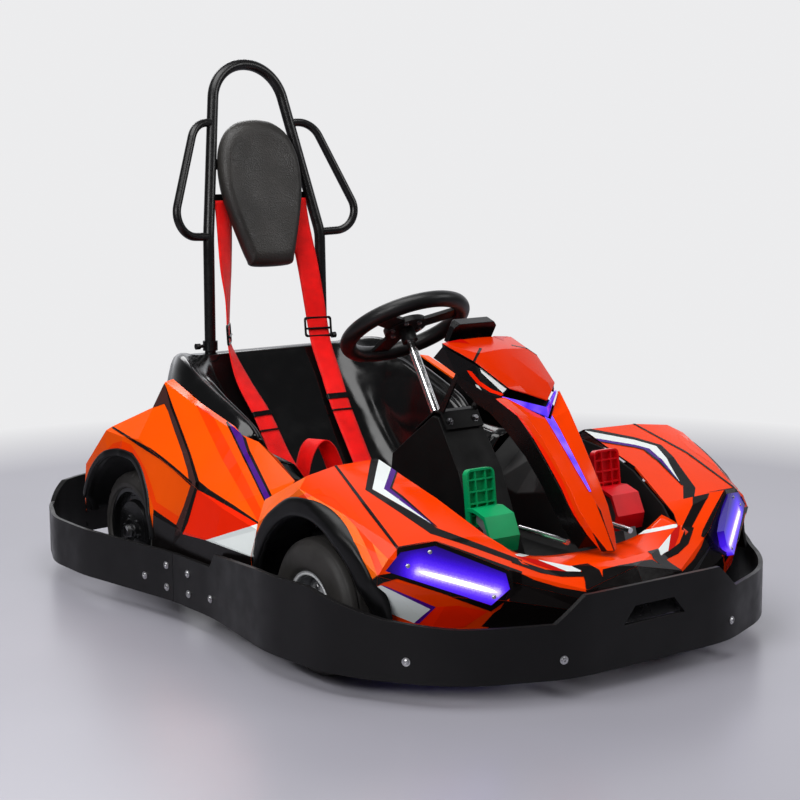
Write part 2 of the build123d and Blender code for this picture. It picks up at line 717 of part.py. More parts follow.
def hub_motor():
    half = REAR_TYRE_W / 2 - 9
    rim = REAR_RIM_R
    bore = SPINDLE_R + RUNNING_GAP
    # Section of the rim with the motor's drum in it: radius and place across the wheel
    outer = [(rim, -half), (rim, half), (rim + 7, half + 1), (rim + 7, half + 4), (rim - 4, half + 4),
             (rim - 6, half - 10), (66, half - 10), (62, half), (34, half + 3), (24, half + 8),
             (bore, half + 8),
             (bore, -half - 6), (30, -half - 6), (62, -half), (66, -half + 10), (rim - 6, -half + 10),
             (rim - 4, -half - 4), (rim + 7, -half - 4), (rim + 7, -half - 1)]
    face = Plane.XZ * make_face(Polyline(*outer, close=True))
    return revolve(face, Axis.Z)


def wheels():
    # Corner name, axle y, wheel centre x, turn that points the wheel's outside outwards
    corners = [
        ("front", "left", FRONT_AXLE_Y, FRONT_TYRE_X, 90),
        ("front", "right", FRONT_AXLE_Y, -FRONT_TYRE_X, -90),
        ("rear", "left", REAR_AXLE_Y, REAR_TYRE_X, 90),
        ("rear", "right", REAR_AXLE_Y, -REAR_TYRE_X, -90),
    ]
    for end, side, y, x, turn in corners:
        place = Pos(x, y, WHEEL_R) * Rot(0, turn, 0)
        if end == "front":
            rim = front_rim()
            rubber = tyre(FRONT_RIM_R, FRONT_TYRE_W, 14)
            rim_name = "rim_front_"
        else:
            rim = hub_motor()
            rubber = tyre(REAR_RIM_R, REAR_TYRE_W, 10)
            rim_name = "hub_motor_"
        save(rim_name + side, place * rim)
        save("tyre_" + end + "_" + side, place * (rubber - rim))
    pieces = []
    for side in (1, -1):
        stub = along_x(SPINDLE_R, 326, 440, REAR_AXLE_Y, WHEEL_R)
        stub += along_x(13, 438, 446, REAR_AXLE_Y, WHEEL_R)
        stub += along_x(15, 320, 331.9, REAR_AXLE_Y, WHEEL_R)
        pieces.append(stub if side > 0 else other_side(stub))
    save("rear_axle_stubs", Compound(pieces))


# Pedals


def pedal():
    """The driver's right pedal: base plate, lever, hood and ribbed foot plate."""
    x = -158.0
    base = slab(x - 28, x + 28, -580, -490, 122.4, 132)
    lever = Plane.YZ * make_face(Polyline((-586, 132), (-552, 132), (-520, 250), (-500, 262), (-500, 276),
                                          (-548, 262), close=True))
    lever = extrude(lever, 16, both=True).moved(Location((x, 0, 0)))
    hood_profile = [(-560, 214), (-566, 244), (-548, 282), (-516, 292), (-496, 290), (-496, 284), (-518, 285),
                    (-544, 276), (-559, 244), (-554, 216)]
    hood = Plane.YZ * make_face(Polyline(*hood_profile, close=True))
    hood = extrude(hood, 35, both=True).moved(Location((x, 0, 0)))
    plane = Plane(origin=(x, -486, 306), x_dir=(1, 0, 0), z_dir=(0, -1, 0.12))
    plate = Rectangle(66, 108)
    plate = fillet(plate.vertices(), 12)
    foot = extrude(plane * plate, 5)
    frame = extrude(plane.offset(5) * (plate - offset(plate, -4)), 8)
    foot += frame
    for dx in (-12, 12):
        foot += extrude(plane.offset(5) * (Pos(dx, 0) * Rectangle(3, 102)), 7)
    for dz in (-32, -10, 12, 34):
        foot += extrude(plane.offset(5) * (Pos(0, dz) * Rectangle(60, 3)), 7)
    return base, lever, hood + foot


def pedals():
    base, lever, cover = pedal()
    save("pedal_bases", Compound([base + lever, other_side(base + lever)]))
    save("throttle_pedal", cover - lever)
    save("brake_pedal", other_side(cover - lever))
    rods = [rod((side * 86, -520, 243), (side * 78, -648, 238), 5.5) for side in (1, -1)]
    save("pedal_rods", Compound(rods))


# Harness


def strap(route, width):
    """Flat webbing along a route of points; each row holds its two edges."""
    rows = []
    for x, y, z, turn in route:
        dx = cos(radians(turn)) * width / 2
        dy = sin(radians(turn)) * width / 2
        rows.append([(x - dx, y - dy, z), (x + dx, y + dy, z)])
    return skin(rows, STRAP_T)


def strap_fittings(route):
    """Frames flat on the front of the webbing: an adjuster near the seat's edge and a keeper below."""
    # Segment of the route, place along it, half height, how far the frame stands past the webbing
    places = [(3, 0.82, 12, 7), (7, 0.12, 7, 5)]
    pieces = []
    for k, share, half_h, past in places:
        start, end = Vector(*route[k][:3]), Vector(*route[k + 1][:3])
        middle = start + (end - start) * share
        plane = Plane(origin=middle, x_dir=(1, 0, 0), z_dir=(end - start).cross(Vector(1, 0, 0)))
        frame = RectangleRounded(STRAP_W + 2 * past, 2 * half_h, 3) - Rectangle(STRAP_W - 4, 2 * half_h - 8)
        pieces.append(extrude(plane.offset(0.4) * frame, 4))
    return pieces


def harness():
    # Routes: x, y, z of the middle of the webbing, and how far its width is turned from X
    near = [(-99, 517, 824, 0), (-102, 506, 760, 0), (-111, 488, 672, 0), (-116, 474, 600, 0),
            (-123, 462, 515, 0), (-122, 445, 474, 0), (-118, 405, 417, 0), (-107, 351, 352, 0),
            (-102, 278, 262, 0), (-92, 236, 224, 0), (-66, 190, 196, 0)]
    far = [(-x, y, z, -turn) for x, y, z, turn in near]
    save("shoulder_strap_right", strap(near, STRAP_W))
    save("shoulder_strap_left", strap(far, STRAP_W))
    save("strap_adjusters", Compound(strap_fittings(near) + strap_fittings(far)))
    # Lap belt: from the seat's flanks to the buckle on the cushion
    lap_right = [(-202, 196, 262, 88), (-188, 180, 224, 76), (-130, 130, 193, 50), (-60, 112, 187, 80)]
    lap_left = [(-x, y, z, -turn) for x, y, z, turn in lap_right]
    save("lap_belt", Compound([strap(lap_right, 44), strap(lap_left, 44)]))
    save("buckle", chamfer(slab(-34, 34, 92, 150, 181, 199).edges().filter_by(Axis.Z), 8))


def main():
    os.makedirs("parts", exist_ok=True)
    bumpers()
    frame = chassis_frame()
    mounts = bumper_mounts(frame)
    roll_hoop()
    hoop_clamps()
    headrest()
    battery_box()
    floor_pan()
    seat_shell()
    cockpit_tub()
    pod = side_pods()
    cowl = front_cowl()
    body_brackets(mounts, pod, cowl)
    headlights()
    arch_lips()
    steering_fairing()
    fairing_hood()
    fairing_lights()
    spine = fairing_spine()
    display_box(spine)
    column_mount(spine)
    steering()
    knuckles()
    tie_rods()
    wheels()
    pedals()
    harness()


main()
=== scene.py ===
"""Looks of the electric go-kart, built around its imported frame.

Metres, +X to the driver's left, the front towards -Y, the floor at Z = 0. Tables in millimetres say so.
"""

from math import cos, pi, radians, sin

import bmesh
import bpy
import numpy as np
from mathutils import Matrix, Vector
from mathutils.bvhtree import BVHTree
from mathutils.geometry import tessellate_polygon


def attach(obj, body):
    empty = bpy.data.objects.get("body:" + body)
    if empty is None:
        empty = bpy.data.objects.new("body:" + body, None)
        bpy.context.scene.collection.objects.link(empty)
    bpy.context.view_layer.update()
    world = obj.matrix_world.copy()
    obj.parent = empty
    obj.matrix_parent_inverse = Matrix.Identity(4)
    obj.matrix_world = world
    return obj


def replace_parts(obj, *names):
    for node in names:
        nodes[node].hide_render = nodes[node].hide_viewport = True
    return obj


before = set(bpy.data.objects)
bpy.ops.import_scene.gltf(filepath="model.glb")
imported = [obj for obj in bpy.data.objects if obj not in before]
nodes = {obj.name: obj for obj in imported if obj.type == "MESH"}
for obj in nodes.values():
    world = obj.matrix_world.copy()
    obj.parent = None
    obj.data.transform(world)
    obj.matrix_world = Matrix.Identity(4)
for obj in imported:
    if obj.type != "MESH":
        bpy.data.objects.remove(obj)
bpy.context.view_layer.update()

# Camera, solved from the photograph
CAMERA_AT = Vector((-2.2148, -3.0415, 0.9894))
CAMERA_YAW = radians(36.311)
CAMERA_PITCH = radians(8.676)
CAMERA_ROLL = radians(-0.354)
FOCAL_PX = 1795.7
PHOTO_PX = 800
SENSOR_MM = 36.0

MM = 0.001
FRONT_AXLE = Vector((0.428, -0.397, 0.127))
REAR_AXLE = Vector((0.396, 0.370, 0.127))
SIDES = (("left", 1.0), ("right", -1.0))


# Camera


def camera_axes():
    level_share = cos(CAMERA_PITCH)
    forward = Vector((sin(CAMERA_YAW) * level_share, cos(CAMERA_YAW) * level_share, -sin(CAMERA_PITCH)))
    level = Vector((cos(CAMERA_YAW), -sin(CAMERA_YAW), 0))
    upright = level.cross(forward)
    right = level * cos(CAMERA_ROLL) + upright * sin(CAMERA_ROLL)
    up = upright * cos(CAMERA_ROLL) - level * sin(CAMERA_ROLL)
    return right, up, forward


CAMERA_RIGHT, CAMERA_UP, CAMERA_FORWARD = camera_axes()


def make_camera():
    data = bpy.data.cameras.new("photo_camera")
    data.sensor_width = SENSOR_MM
    data.lens = FOCAL_PX / PHOTO_PX * SENSOR_MM
    data.clip_start = 0.05
    data.clip_end = 100
    camera = bpy.data.objects.new("photo_camera", data)
    bpy.context.scene.collection.objects.link(camera)
    turn = Matrix((CAMERA_RIGHT, CAMERA_UP, -CAMERA_FORWARD)).transposed()
    camera.matrix_world = Matrix.Translation(CAMERA_AT) @ turn.to_4x4()
    bpy.context.scene.camera = camera


def pixel_ray(pixel):
    """Direction from the camera through a pixel of the photograph."""
    half = PHOTO_PX / 2
    across, down = (pixel[0] - half) / FOCAL_PX, (pixel[1] - half) / FOCAL_PX
    return (CAMERA_FORWARD + CAMERA_RIGHT * across - CAMERA_UP * down).normalized()


# Materials


def srgb(red, green, blue):
    """A colour as seen on a screen, 0 to 255, as the linear values that a shader wants."""
    values = [c / 255 for c in (red, green, blue)]
    return tuple(c / 12.92 if c <= 0.04045 else ((c + 0.055) / 1.055) ** 2.4 for c in values)


def add_node(tree, kind, inputs=None, **settings):
    """A shader node with its settings and the values of its inputs."""
    node = tree.nodes.new(kind)
    for key, value in settings.items():
        setattr(node, key, value)
    for socket, value in (inputs or {}).items():
        node.inputs[socket].default_value = value
    return node


class Surface:
    """A node material with a principled shader, made up step by step."""

    def __init__(self, name, colour, roughness, **sockets):
        self.material = bpy.data.materials.new(name)
        self.material.use_nodes = True
        self.tree = self.material.node_tree
        self.shader = self.tree.nodes["Principled BSDF"]
        self.colour = colour
        self.roughness = roughness
        self.shader.inputs["Base Color"].default_value = (*colour, 1)
        self.shader.inputs["Roughness"].default_value = roughness
        for socket, value in sockets.items():
            self.shader.inputs[socket.replace("_", " ")].default_value = value
        self.place = self.add("ShaderNodeTexCoord").outputs["Object"]
        self.height = None

    def add(self, kind, inputs=None, **settings):
        return add_node(self.tree, kind, inputs, **settings)

    def link(self, source, target):
        self.tree.links.new(source, target)

    def noise(self, scale, detail):
        node = self.add("ShaderNodeTexNoise", {"Scale": scale, "Detail": detail})
        self.link(self.place, node.inputs["Vector"])
        return node.outputs["Fac"]

    def ramp(self, source, stops):
        """Colours along a value: stops of (place, colour)."""
        node = self.add("ShaderNodeValToRGB")
        elements = node.color_ramp.elements
        while len(elements) < len(stops):
            elements.new(0.5)
        for element, (place, colour) in zip(elements, stops):
            element.position = place
            element.color = (*colour, 1)
        self.link(source, node.inputs["Fac"])
        return node.outputs["Color"]

    def span(self, source, low, high, in_low=0.3, in_high=0.7):
        node = self.add("ShaderNodeMapRange",
                        {"From Min": in_low, "From Max": in_high, "To Min": low, "To Max": high})
        self.link(source, node.inputs["Value"])
        return node.outputs["Result"]

    def tint(self, source, amount):
        """The colour varies a little lighter and darker with the source."""
        darker = tuple(c * (1 - amount) for c in self.colour)
        lighter = tuple(min(1.0, c * (1 + amount)) for c in self.colour)
        self.link(self.ramp(source, [(0.3, darker), (0.7, lighter)]), self.shader.inputs["Base Color"])

    def polish(self, source, spread):
        low, high = max(0.02, self.roughness - spread), min(1.0, self.roughness + spread)
        self.link(self.span(source, low, high), self.shader.inputs["Roughness"])

    def bump(self, source, depth, strength=1.0):
        node = self.add("ShaderNodeBump", {"Distance": depth, "Strength": strength})
        self.link(source, node.inputs["Height"])
        if self.height is not None:
            self.link(self.height, node.inputs["Normal"])
        self.height = node.outputs["Normal"]
        self.link(self.height, self.shader.inputs["Normal"])


def worked(name, colour, roughness, tint, polish, bumps, **sockets):
    """A surface with uneven colour, gloss and grain: each is (noise scale, detail, amount)."""
    surface = Surface(name, colour, roughness, **sockets)
    surface.tint(surface.noise(*tint[:2]), tint[2])
    surface.polish(surface.noise(*polish[:2]), polish[2])
    for scale, detail, *depth in bumps:
        surface.bump(surface.noise(scale, detail), *depth)
    return surface


def moulded(name, colour, roughness, grain=900.0, depth=0.00012, specular=0.22):
    """Injection moulded plastic: fine grain, uneven gloss."""
    return worked(name, colour, roughness, (9, 4, 0.18), (24, 4, 0.07), [(grain, 2, depth)],
                  Specular_IOR_Level=specular).material


def film(name, colour, roughness=0.16, amount=0.06):
    """Gloss printed film over moulded plastic: slight orange peel under a clear coat."""
    return worked(name, colour, roughness, (6, 3, amount), (40, 3, 0.04), [(55, 2, 0.0004, 0.5)],
                  Specular_IOR_Level=0.12, Coat_Weight=0.035, Coat_Roughness=0.05).material


def painted(name, colour, roughness):
    """Powder coat with its fine texture."""
    return worked(name, colour, roughness, (14, 3, 0.12), (60, 3, 0.06), [(700, 2, 0.00015)],
                  Specular_IOR_Level=0.4).material


def metal(name, colour, roughness, grain=420.0):
    return worked(name, colour, roughness, (30, 4, 0.08), (60, 3, 0.05), [(grain, 2, 0.00003)],
                  Metallic=1.0).material


def rubber(name, colour, roughness):
    return worked(name, colour, roughness, (16, 5, 0.3), (50, 4, 0.06), [(500, 3, 0.0002)],
                  Specular_IOR_Level=0.35).material


def webbing():
    """Woven polyester: ribs along the strap and a fine cross weave."""
    surface = Surface("webbing_red", srgb(244, 12, 10), 0.5, Specular_IOR_Level=0.2, Sheen_Weight=0.08,
                      Sheen_Roughness=0.4)
    surface.tint(surface.noise(35, 4), 0.16)
    weave = surface.add("ShaderNodeTexWave", {"Scale": 320, "Distortion": 1.5}, wave_type="BANDS",
                        bands_direction="DIAGONAL")
    surface.link(surface.place, weave.inputs["Vector"])
    surface.bump(weave.outputs["Fac"], 0.0003, 0.7)
    surface.bump(surface.noise(900, 2), 0.0002, 0.6)
    return surface.material


def foam_skin():
    """Integral skin foam: soft leather grain and shallow creases."""
    surface = worked("foam_skin", srgb(38, 36, 34), 0.42, (12, 5, 0.35), (18, 5, 0.1), [],
                     Specular_IOR_Level=0.45)
    grain = surface.add("ShaderNodeTexVoronoi", {"Scale": 330}, feature="F1")
    surface.link(surface.place, grain.inputs["Vector"])
    surface.bump(grain.outputs["Distance"], 0.0007, 0.7)
    surface.bump(surface.noise(26, 3), 0.0012, 0.35)
    return surface.material


def lit_lens(name, colour, strength, deep):
    """A lamp lens lit from inside, deeper in some places than in others."""
    surface = Surface(name, colour, 0.12, Coat_Weight=0.6, Coat_Roughness=0.05, Emission_Strength=strength)
    tinted = surface.ramp(surface.noise(30, 2), [(0.25, deep), (0.75, colour)])
    surface.link(tinted, surface.shader.inputs["Base Color"])
    surface.link(tinted, surface.shader.inputs["Emission Color"])
    surface.bump(surface.noise(180, 2), 0.0003, 0.4)
    return surface.material


# Colours from the lamp's tube outwards, as shares of LENS_REACH, which starts a little off the tube
LENS_GLOW = ((0.0, srgb(236, 226, 255)), (0.07, srgb(210, 190, 255)), (0.13, srgb(136, 98, 255)),
             (0.22, srgb(92, 48, 252)), (0.36, srgb(60, 18, 220)), (0.52, srgb(38, 8, 150)),
             (0.75, srgb(22, 4, 84)))
LENS_REACH = (0.0035, 0.0735)
LENS_UNEVEN = 0.007


def glowing_lens(start, end):
    """The headlight's lens, lit by a tube from start to end, in metres on either lens."""
    surface = Surface("headlight_lens", srgb(20, 6, 60), 0.12, Specular_IOR_Level=0.4,
                      Emission_Strength=1.0)

    def vector(operation, *sources):
        node = surface.add("ShaderNodeVectorMath", operation=operation)
        for socket, source in zip(node.inputs, sources):
            if hasattr(source, "is_output"):
                surface.link(source, socket)
            else:
                socket.default_value = source
        return node

    start, end = (Vector((abs(p.x), abs(p.y), abs(p.z))) for p in (start, end))
    along = end - start
    place = vector("ABSOLUTE", surface.place).outputs[0]
    offset = vector("SUBTRACT", place, tuple(start)).outputs[0]
    share = surface.add("ShaderNodeMath", {1: 1 / along.length_squared}, operation="MULTIPLY", use_clamp=True)
    surface.link(vector("DOT_PRODUCT", offset, tuple(along)).outputs["Value"], share.inputs[0])
    nearest = surface.add("ShaderNodeVectorMath", {0: tuple(along)}, operation="SCALE")
    surface.link(share.outputs[0], nearest.inputs["Scale"])
    away = vector("LENGTH", vector("SUBTRACT", offset, nearest.outputs[0]).outputs[0]).outputs["Value"]
    uneven = surface.add("ShaderNodeMath", {1: LENS_UNEVEN}, operation="MULTIPLY_ADD")
    surface.link(surface.noise(420, 3), uneven.inputs[0])
    surface.link(away, uneven.inputs[2])
    glow = surface.ramp(surface.span(uneven.outputs[0], 0, 1, *LENS_REACH), LENS_GLOW)
    surface.link(glow, surface.shader.inputs["Emission Color"])
    surface.bump(surface.noise(160, 2), 0.0002, 0.3)
    return surface.material


MATERIALS = {
    "orange": film("film_orange", srgb(254, 86, 0)),
    # A brighter copy of the orange: painted light on the cowl's side-facing flanks
    "orange_painted_light": film("film_orange_bright", srgb(255, 102, 0)),
    "orange_deep": film("film_orange_deep", srgb(240, 60, 0)),
    "orange_red": film("film_orange_red", srgb(252, 62, 0)),
    "orange_signal": film("film_signal_red", srgb(250, 38, 2)),
    "dark_red": film("film_dark_red", srgb(190, 14, 6)),
    # A darker copy of the orange film for the hood: painted shade
    "orange_hood": film("film_orange_hood", srgb(206, 42, 0)),
    "white": film("film_white", srgb(226, 232, 231), 0.2, 0.02),
    "purple": film("film_purple", srgb(74, 14, 130), 0.2, 0.15),
    "black_film": film("film_black", srgb(16, 13, 13), 0.22, 0.2),
    "brown_film": film("film_brown", srgb(64, 38, 36), 0.25, 0.12),
    "black_moulded": moulded("moulded_black", (0.0034, 0.0034, 0.0037), 0.24, depth=0.00006),
    "seat_black": moulded("seat_black", (0.0026, 0.0026, 0.0028), 0.15, depth=0.00004, specular=0.42),
    "lip_black": moulded("lip_black", (0.003, 0.003, 0.0032), 0.34, depth=0.00006),
    "plate_black": moulded("plate_black", (0.0022, 0.0022, 0.0024), 0.6, depth=0.00006),
    "panel_inside": moulded("panel_inside", (0.0035, 0.0035, 0.004), 0.5),
    "bumper": moulded("bumper_black", (0.0068, 0.0064, 0.0068), 0.38, 700, 0.00012),
    "black_steel": painted("steel_black", (0.0045, 0.0042, 0.0045), 0.28),
    "floor_sheet": painted("sheet_black", (0.01, 0.01, 0.01), 0.5),
    "bright_steel": metal("zinc_bright", (0.56, 0.56, 0.57), 0.32),
    "chrome": metal("chrome", (0.88, 0.88, 0.89), 0.13, 12),
    "rim": painted("rim_silver", (0.36, 0.365, 0.38), 0.28),
    # Light grey on the front rims' lip: a painted highlight in place of the lip's reflection
    "rim_lip_highlight": painted("rim_lip_highlight", (0.72, 0.73, 0.75), 0.2),
    "dark_steel": metal("steel_dark", (0.16, 0.16, 0.17), 0.3),
    "motor": painted("motor_black", (0.0055, 0.0055, 0.006), 0.2),
    "tyre": rubber("tyre_black", (0.034, 0.0315, 0.03), 0.55),
    "grip": rubber("grip_black", (0.0055, 0.0055, 0.0058), 0.4),
    "green": moulded("moulded_green", srgb(0, 148, 88), 0.38),
    "red": moulded("moulded_red", srgb(224, 6, 22), 0.36),
    "grey": moulded("moulded_grey", srgb(118, 118, 120), 0.42),
    "webbing": webbing(),
    "foam": foam_skin(),
    "violet": lit_lens("lens_violet", srgb(124, 88, 255), 0.95, srgb(40, 8, 200)),
    "tube": lit_lens("lamp_tube", srgb(236, 226, 255), 2.2, srgb(205, 190, 255)),
}

# Which of the frame's nodes each material dresses; the lens is made in dress_nodes
NODES_OF = {
    "black_moulded": "arch_lips battery_box buckle display_box fairing_cheeks fairing_spine seat_shell "
                     "strap_adjusters",
    "black_steel": "body_brackets bumper_mounts chassis_frame fairing_struts hoop_clamps roll_hoop",
    "bright_steel": "knuckle_left knuckle_right rear_axle_stubs tie_rod_left tie_rod_right",
    "bumper": "bumper_front bumper_rear",
    "chrome": "pedal_rods steering_column",
    "floor_sheet": "floor_pan",
    "foam": "headrest_pad",
    "green": "throttle_pedal",
    "grey": "pedal_bases",
    "grip": "steering_wheel",
    "lens": "headlight_left headlight_right",
    "motor": "hub_motor_left hub_motor_right",
    "orange": "side_pod_left side_pod_right",
    "orange_deep": "front_cowl steering_fairing",
    # The hood takes the darker orange, painted shade
    "orange_hood": "fairing_hood",
    "plate_black": "cockpit_tub column_plate",
    "red": "brake_pedal",
    "rim": "rim_front_left rim_front_right",
    "tyre": "tyre_front_left tyre_front_right tyre_rear_left tyre_rear_right",
    "violet": "fairing_lights",
    "webbing": "lap_belt shoulder_strap_left shoulder_strap_right",
}

# Nodes whose edges are rounded a little, by the radius in metres
SOFT_EDGES = {
    0.001: "arch_lips throttle_pedal brake_pedal pedal_bases",
    0.0012: "steering_fairing fairing_hood",
    0.0014: "front_cowl side_pod_left side_pod_right",
    0.0015: "column_plate",
    0.002: "display_box",
    0.0022: "bumper_front bumper_rear",
    0.004: "battery_box",
    0.006: "fairing_spine",
    0.007: "cockpit_tub",
}
# Flatter folds than this read as one smooth face, and points nearer than WELD_REACH as one point
SOFT_ANGLE = radians(14)
WELD_REACH = 2e-5

# Inside the pods and the cowl, what their outer faces look away from
POD_CORE_X, POD_CORE_Z = 0.36, 0.15
COWL_CORE_X, COWL_CORE_Y, COWL_CORE_Z = 0.42, -0.5, 0.1
FAIRING_OUT = Vector((0, -1, 0.8))
# Faces smaller than this, in square metres, count as inner ones
SLIVER_AREA = 1e-7
# Limits of the pods' black hem, of the cowl's black lower front and of its side-facing flanks, which get a
# brighter orange as painted light
HEM_TOP = 0.15
BLACK_FRONT_X, BLACK_FRONT_TOP = 0.26, 0.166
FLANK_X, FLANK_FRONT = 0.43, -0.58

# Turns round the section of a bent wire
WIRE_TURNS = [2 * pi * k / 8 for k in range(8)]


def by_name(groups):
    """Each name of a table of {value: "name name"} with its value."""
    return {name: value for value, names in groups.items() for name in names.split()}


# Forms, as pairs of points and faces, and the pieces made of them


def add_mesh(name, points, faces, smooth=False):
    mesh = bpy.data.meshes.new(name)
    mesh.from_pydata([tuple(p) for p in points], [], faces)
    mesh.update()
    if smooth:
        mesh.polygons.foreach_set("use_smooth", [True] * len(mesh.polygons))
    return mesh


def add_piece(name, form, material, body="root", smooth=False):
    """A piece of points and faces, or of a finished mesh, riding on a body."""
    mesh = add_mesh(name, *form, smooth) if isinstance(form, tuple) else form
    piece = bpy.data.objects.new(name, mesh)
    bpy.context.scene.collection.objects.link(piece)
    mesh.materials.append(MATERIALS[material])
    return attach(piece, body)


def thicken(piece, thickness, offset=0.0):
    thick = piece.modifiers.new("thickness", "SOLIDIFY")
    thick.thickness = thickness
    thick.offset = offset


def mend(mesh, merge=0.0, outwards=True, fold=None):
    """Points nearer than merge become one, normals point outwards, and folds sharper than fold stay."""
    shape = bmesh.new()
    shape.from_mesh(mesh)
    if merge:
        bmesh.ops.remove_doubles(shape, verts=shape.verts, dist=merge)
    if outwards:
        bmesh.ops.recalc_face_normals(shape, faces=shape.faces)
    if fold:
        for edge in shape.edges:
            edge.smooth = not edge.is_manifold or edge.calc_face_angle(0) < fold
    shape.to_mesh(mesh)
    shape.free()


def tree_of(mesh):
    return BVHTree.FromPolygons([v.co for v in mesh.vertices], [tuple(f.vertices) for f in mesh.polygons])


def mirrored(points, faces):
    """The same faces on the other side of the kart, added to the given ones."""
    count = len(points)
    points = list(points) + [Vector((-p[0], p[1], p[2])) for p in points]
    faces = list(faces) + [tuple(i + count for i in reversed(face)) for face in faces]
    return points, faces


def grid_faces(rows, columns, closed=False, ringed=False):
    """Faces of a grid of points: closed joins each row's ends, ringed joins the last row to the first."""
    faces = []
    for i in range(rows if ringed else rows - 1):
        here, there = i * columns, (i + 1) % rows * columns
        for j in range(columns if closed else columns - 1):
            k = (j + 1) % columns
            faces.append((here + j, here + k, there + k, there + j))
    return faces


def spokes(axis, steps):
    """Directions square to an axis, evenly all round."""
    side = axis.orthogonal().normalized()
    other = axis.cross(side)
    turns = [2 * pi * k / steps for k in range(steps)]
    return [side * cos(turn) + other * sin(turn) for turn in turns]


def turned(profile, steps, place, axis):
    """A turned form: profile points are (radius, distance along the axis) from the place outwards."""
    rays = spokes(axis, steps)
    points = [place + axis * along + ray * radius for radius, along in profile for ray in rays]
    faces = grid_faces(len(profile), steps, closed=True)
    faces.append(tuple(reversed(range(steps))))
    faces.append(tuple(range((len(profile) - 1) * steps, len(profile) * steps)))
    return points, faces


def ring(place, axis, radius, wire, steps):
    """A round wire bent into a ring."""
    points = []
    for ray in spokes(axis, steps):
        for lean in WIRE_TURNS:
            points.append(place + ray * (radius + wire * cos(lean)) + axis * (wire * sin(lean)))
    return points, grid_faces(steps, len(WIRE_TURNS), closed=True, ringed=True)


def join(forms):
    points, faces = [], []
    for some_points, some_faces in forms:
        base = len(points)
        points += list(some_points)
        faces += [tuple(i + base for i in face) for face in some_faces]
    return points, faces


def curve_point(a, b, c, d, share):
    """A point on the smooth curve from b to c, where a comes before them and d after."""
    bend = (2 * a - 5 * b + 4 * c - d) * share * share
    return 0.5 * (2 * b + (c - a) * share + bend + (3 * b - a - 3 * c + d) * share ** 3)


def smooth_line(values, parts):
    """Points of a smooth curve through the values, as many parts between each two."""
    values = [np.array(v, float) for v in values]
    ends = [2 * values[0] - values[1]] + values + [2 * values[-1] - values[-2]]
    spans = [ends[k - 1:k + 3] for k in range(1, len(ends) - 2)]
    return [curve_point(*span, step / parts) for span in spans for step in range(parts)] + [values[-1]]


# Carried-over nodes: materials, insides and rounded edges


def outwards_of_pod(centre):
    return centre - Vector((POD_CORE_X if centre.x > 0 else -POD_CORE_X, centre.y, POD_CORE_Z))


def outwards_of_cowl(centre):
    inner_x = min(max(centre.x, -COWL_CORE_X), COWL_CORE_X)
    return centre - Vector((inner_x, max(centre.y, COWL_CORE_Y), COWL_CORE_Z))


def outwards_of_fairing(centre):
    return FAIRING_OUT


def pod_film(face):
    """The hem of a pod's flank is black."""
    mesh = face.id_data
    lowest = min(mesh.vertices[i].co.z for i in face.vertices)
    return "black_film" if lowest < HEM_TOP and abs(face.normal.x) > 0.9 else None


def cowl_film(face):
    """The cowl's side-facing flanks get a brighter orange, painted light on their lit side, and its lowest
    front is black.
    """
    if abs(face.center.x) < BLACK_FRONT_X and face.center.z < BLACK_FRONT_TOP:
        return "black_moulded"
    # Side-facing faces of the flanks take the painted light
    if abs(face.center.x) > FLANK_X and abs(face.normal.x) > 0.5 and face.center.y > FLANK_FRONT:
        return "orange_painted_light"
    return None


# Panels that are black inside: the way out of them, and the film on some of their faces
PANELS = {
    "side_pod_left": (outwards_of_pod, pod_film),
    "side_pod_right": (outwards_of_pod, pod_film),
    "front_cowl": (outwards_of_cowl, cowl_film),
    "fairing_hood": (outwards_of_fairing, None),
    "steering_fairing": (outwards_of_fairing, None),
}


def dress_panel(name, outwards, film_of):
    """Outer faces keep the panel's material or take another film; inner faces and rims are black."""
    mesh = nodes[name].data
    slots = [None]

    def slot_of(material):
        if material not in slots:
            slots.append(material)
            mesh.materials.append(MATERIALS[material])
        return slots.index(material)

    for face in mesh.polygons:
        inside = face.normal.dot(outwards(face.center)) <= 0 or face.area < SLIVER_AREA
        face.material_index = slot_of("panel_inside" if inside else film_of and film_of(face))


def round_edges(node, radius):
    mesh = node.data
    if mesh.attributes.get("custom_normal"):
        mesh.attributes.remove(mesh.attributes["custom_normal"])
    weld = node.modifiers.new("weld", "WELD")
    weld.merge_threshold = WELD_REACH
    bevel = node.modifiers.new("bevel", "BEVEL")
    bevel.width = radius
    bevel.segments = 2
    bevel.limit_method = "ANGLE"
    bevel.angle_limit = SOFT_ANGLE
    bevel.harden_normals = True
    mesh.polygons.foreach_set("use_smooth", [True] * len(mesh.polygons))


def dress_nodes():
    start, end = (surface_point(pixel, "headlight_right")[0] for pixel in TUBE_ENDS)
    MATERIALS["lens"] = glowing_lens(start, end)
    material_of, radius_of = by_name(NODES_OF), by_name(SOFT_EDGES)
    for name, node in nodes.items():
        node.data.materials.clear()
        node.data.materials.append(MATERIALS[material_of[name]])
        if name in radius_of:
            round_edges(node, radius_of[name])
    for name, (outwards, film_of) in PANELS.items():
        dress_panel(name, outwards, film_of)


# Printed films on the panels


# Enlarged crops of the photograph that outlines were read from: left, top, enlargement
POD_CROP = (80.0, 370.0, 7.84)
FENDER_CROP = (300.0, 440.0, 7.127)
HOOD_CROP = (440.0, 330.0, 7.84)
NOSE_CROP = (520.0, 480.0, 7.127)
LAMP_CROP = (380.0, 420.0, 4.146)
CHEEK_CROP = (420.0, 320.0, 4.975)

# How far each layer of film stands off the panel, and how far behind what is seen a face is hidden
FILM_LIFT = 0.0004
HIDDEN_BEHIND = 0.006

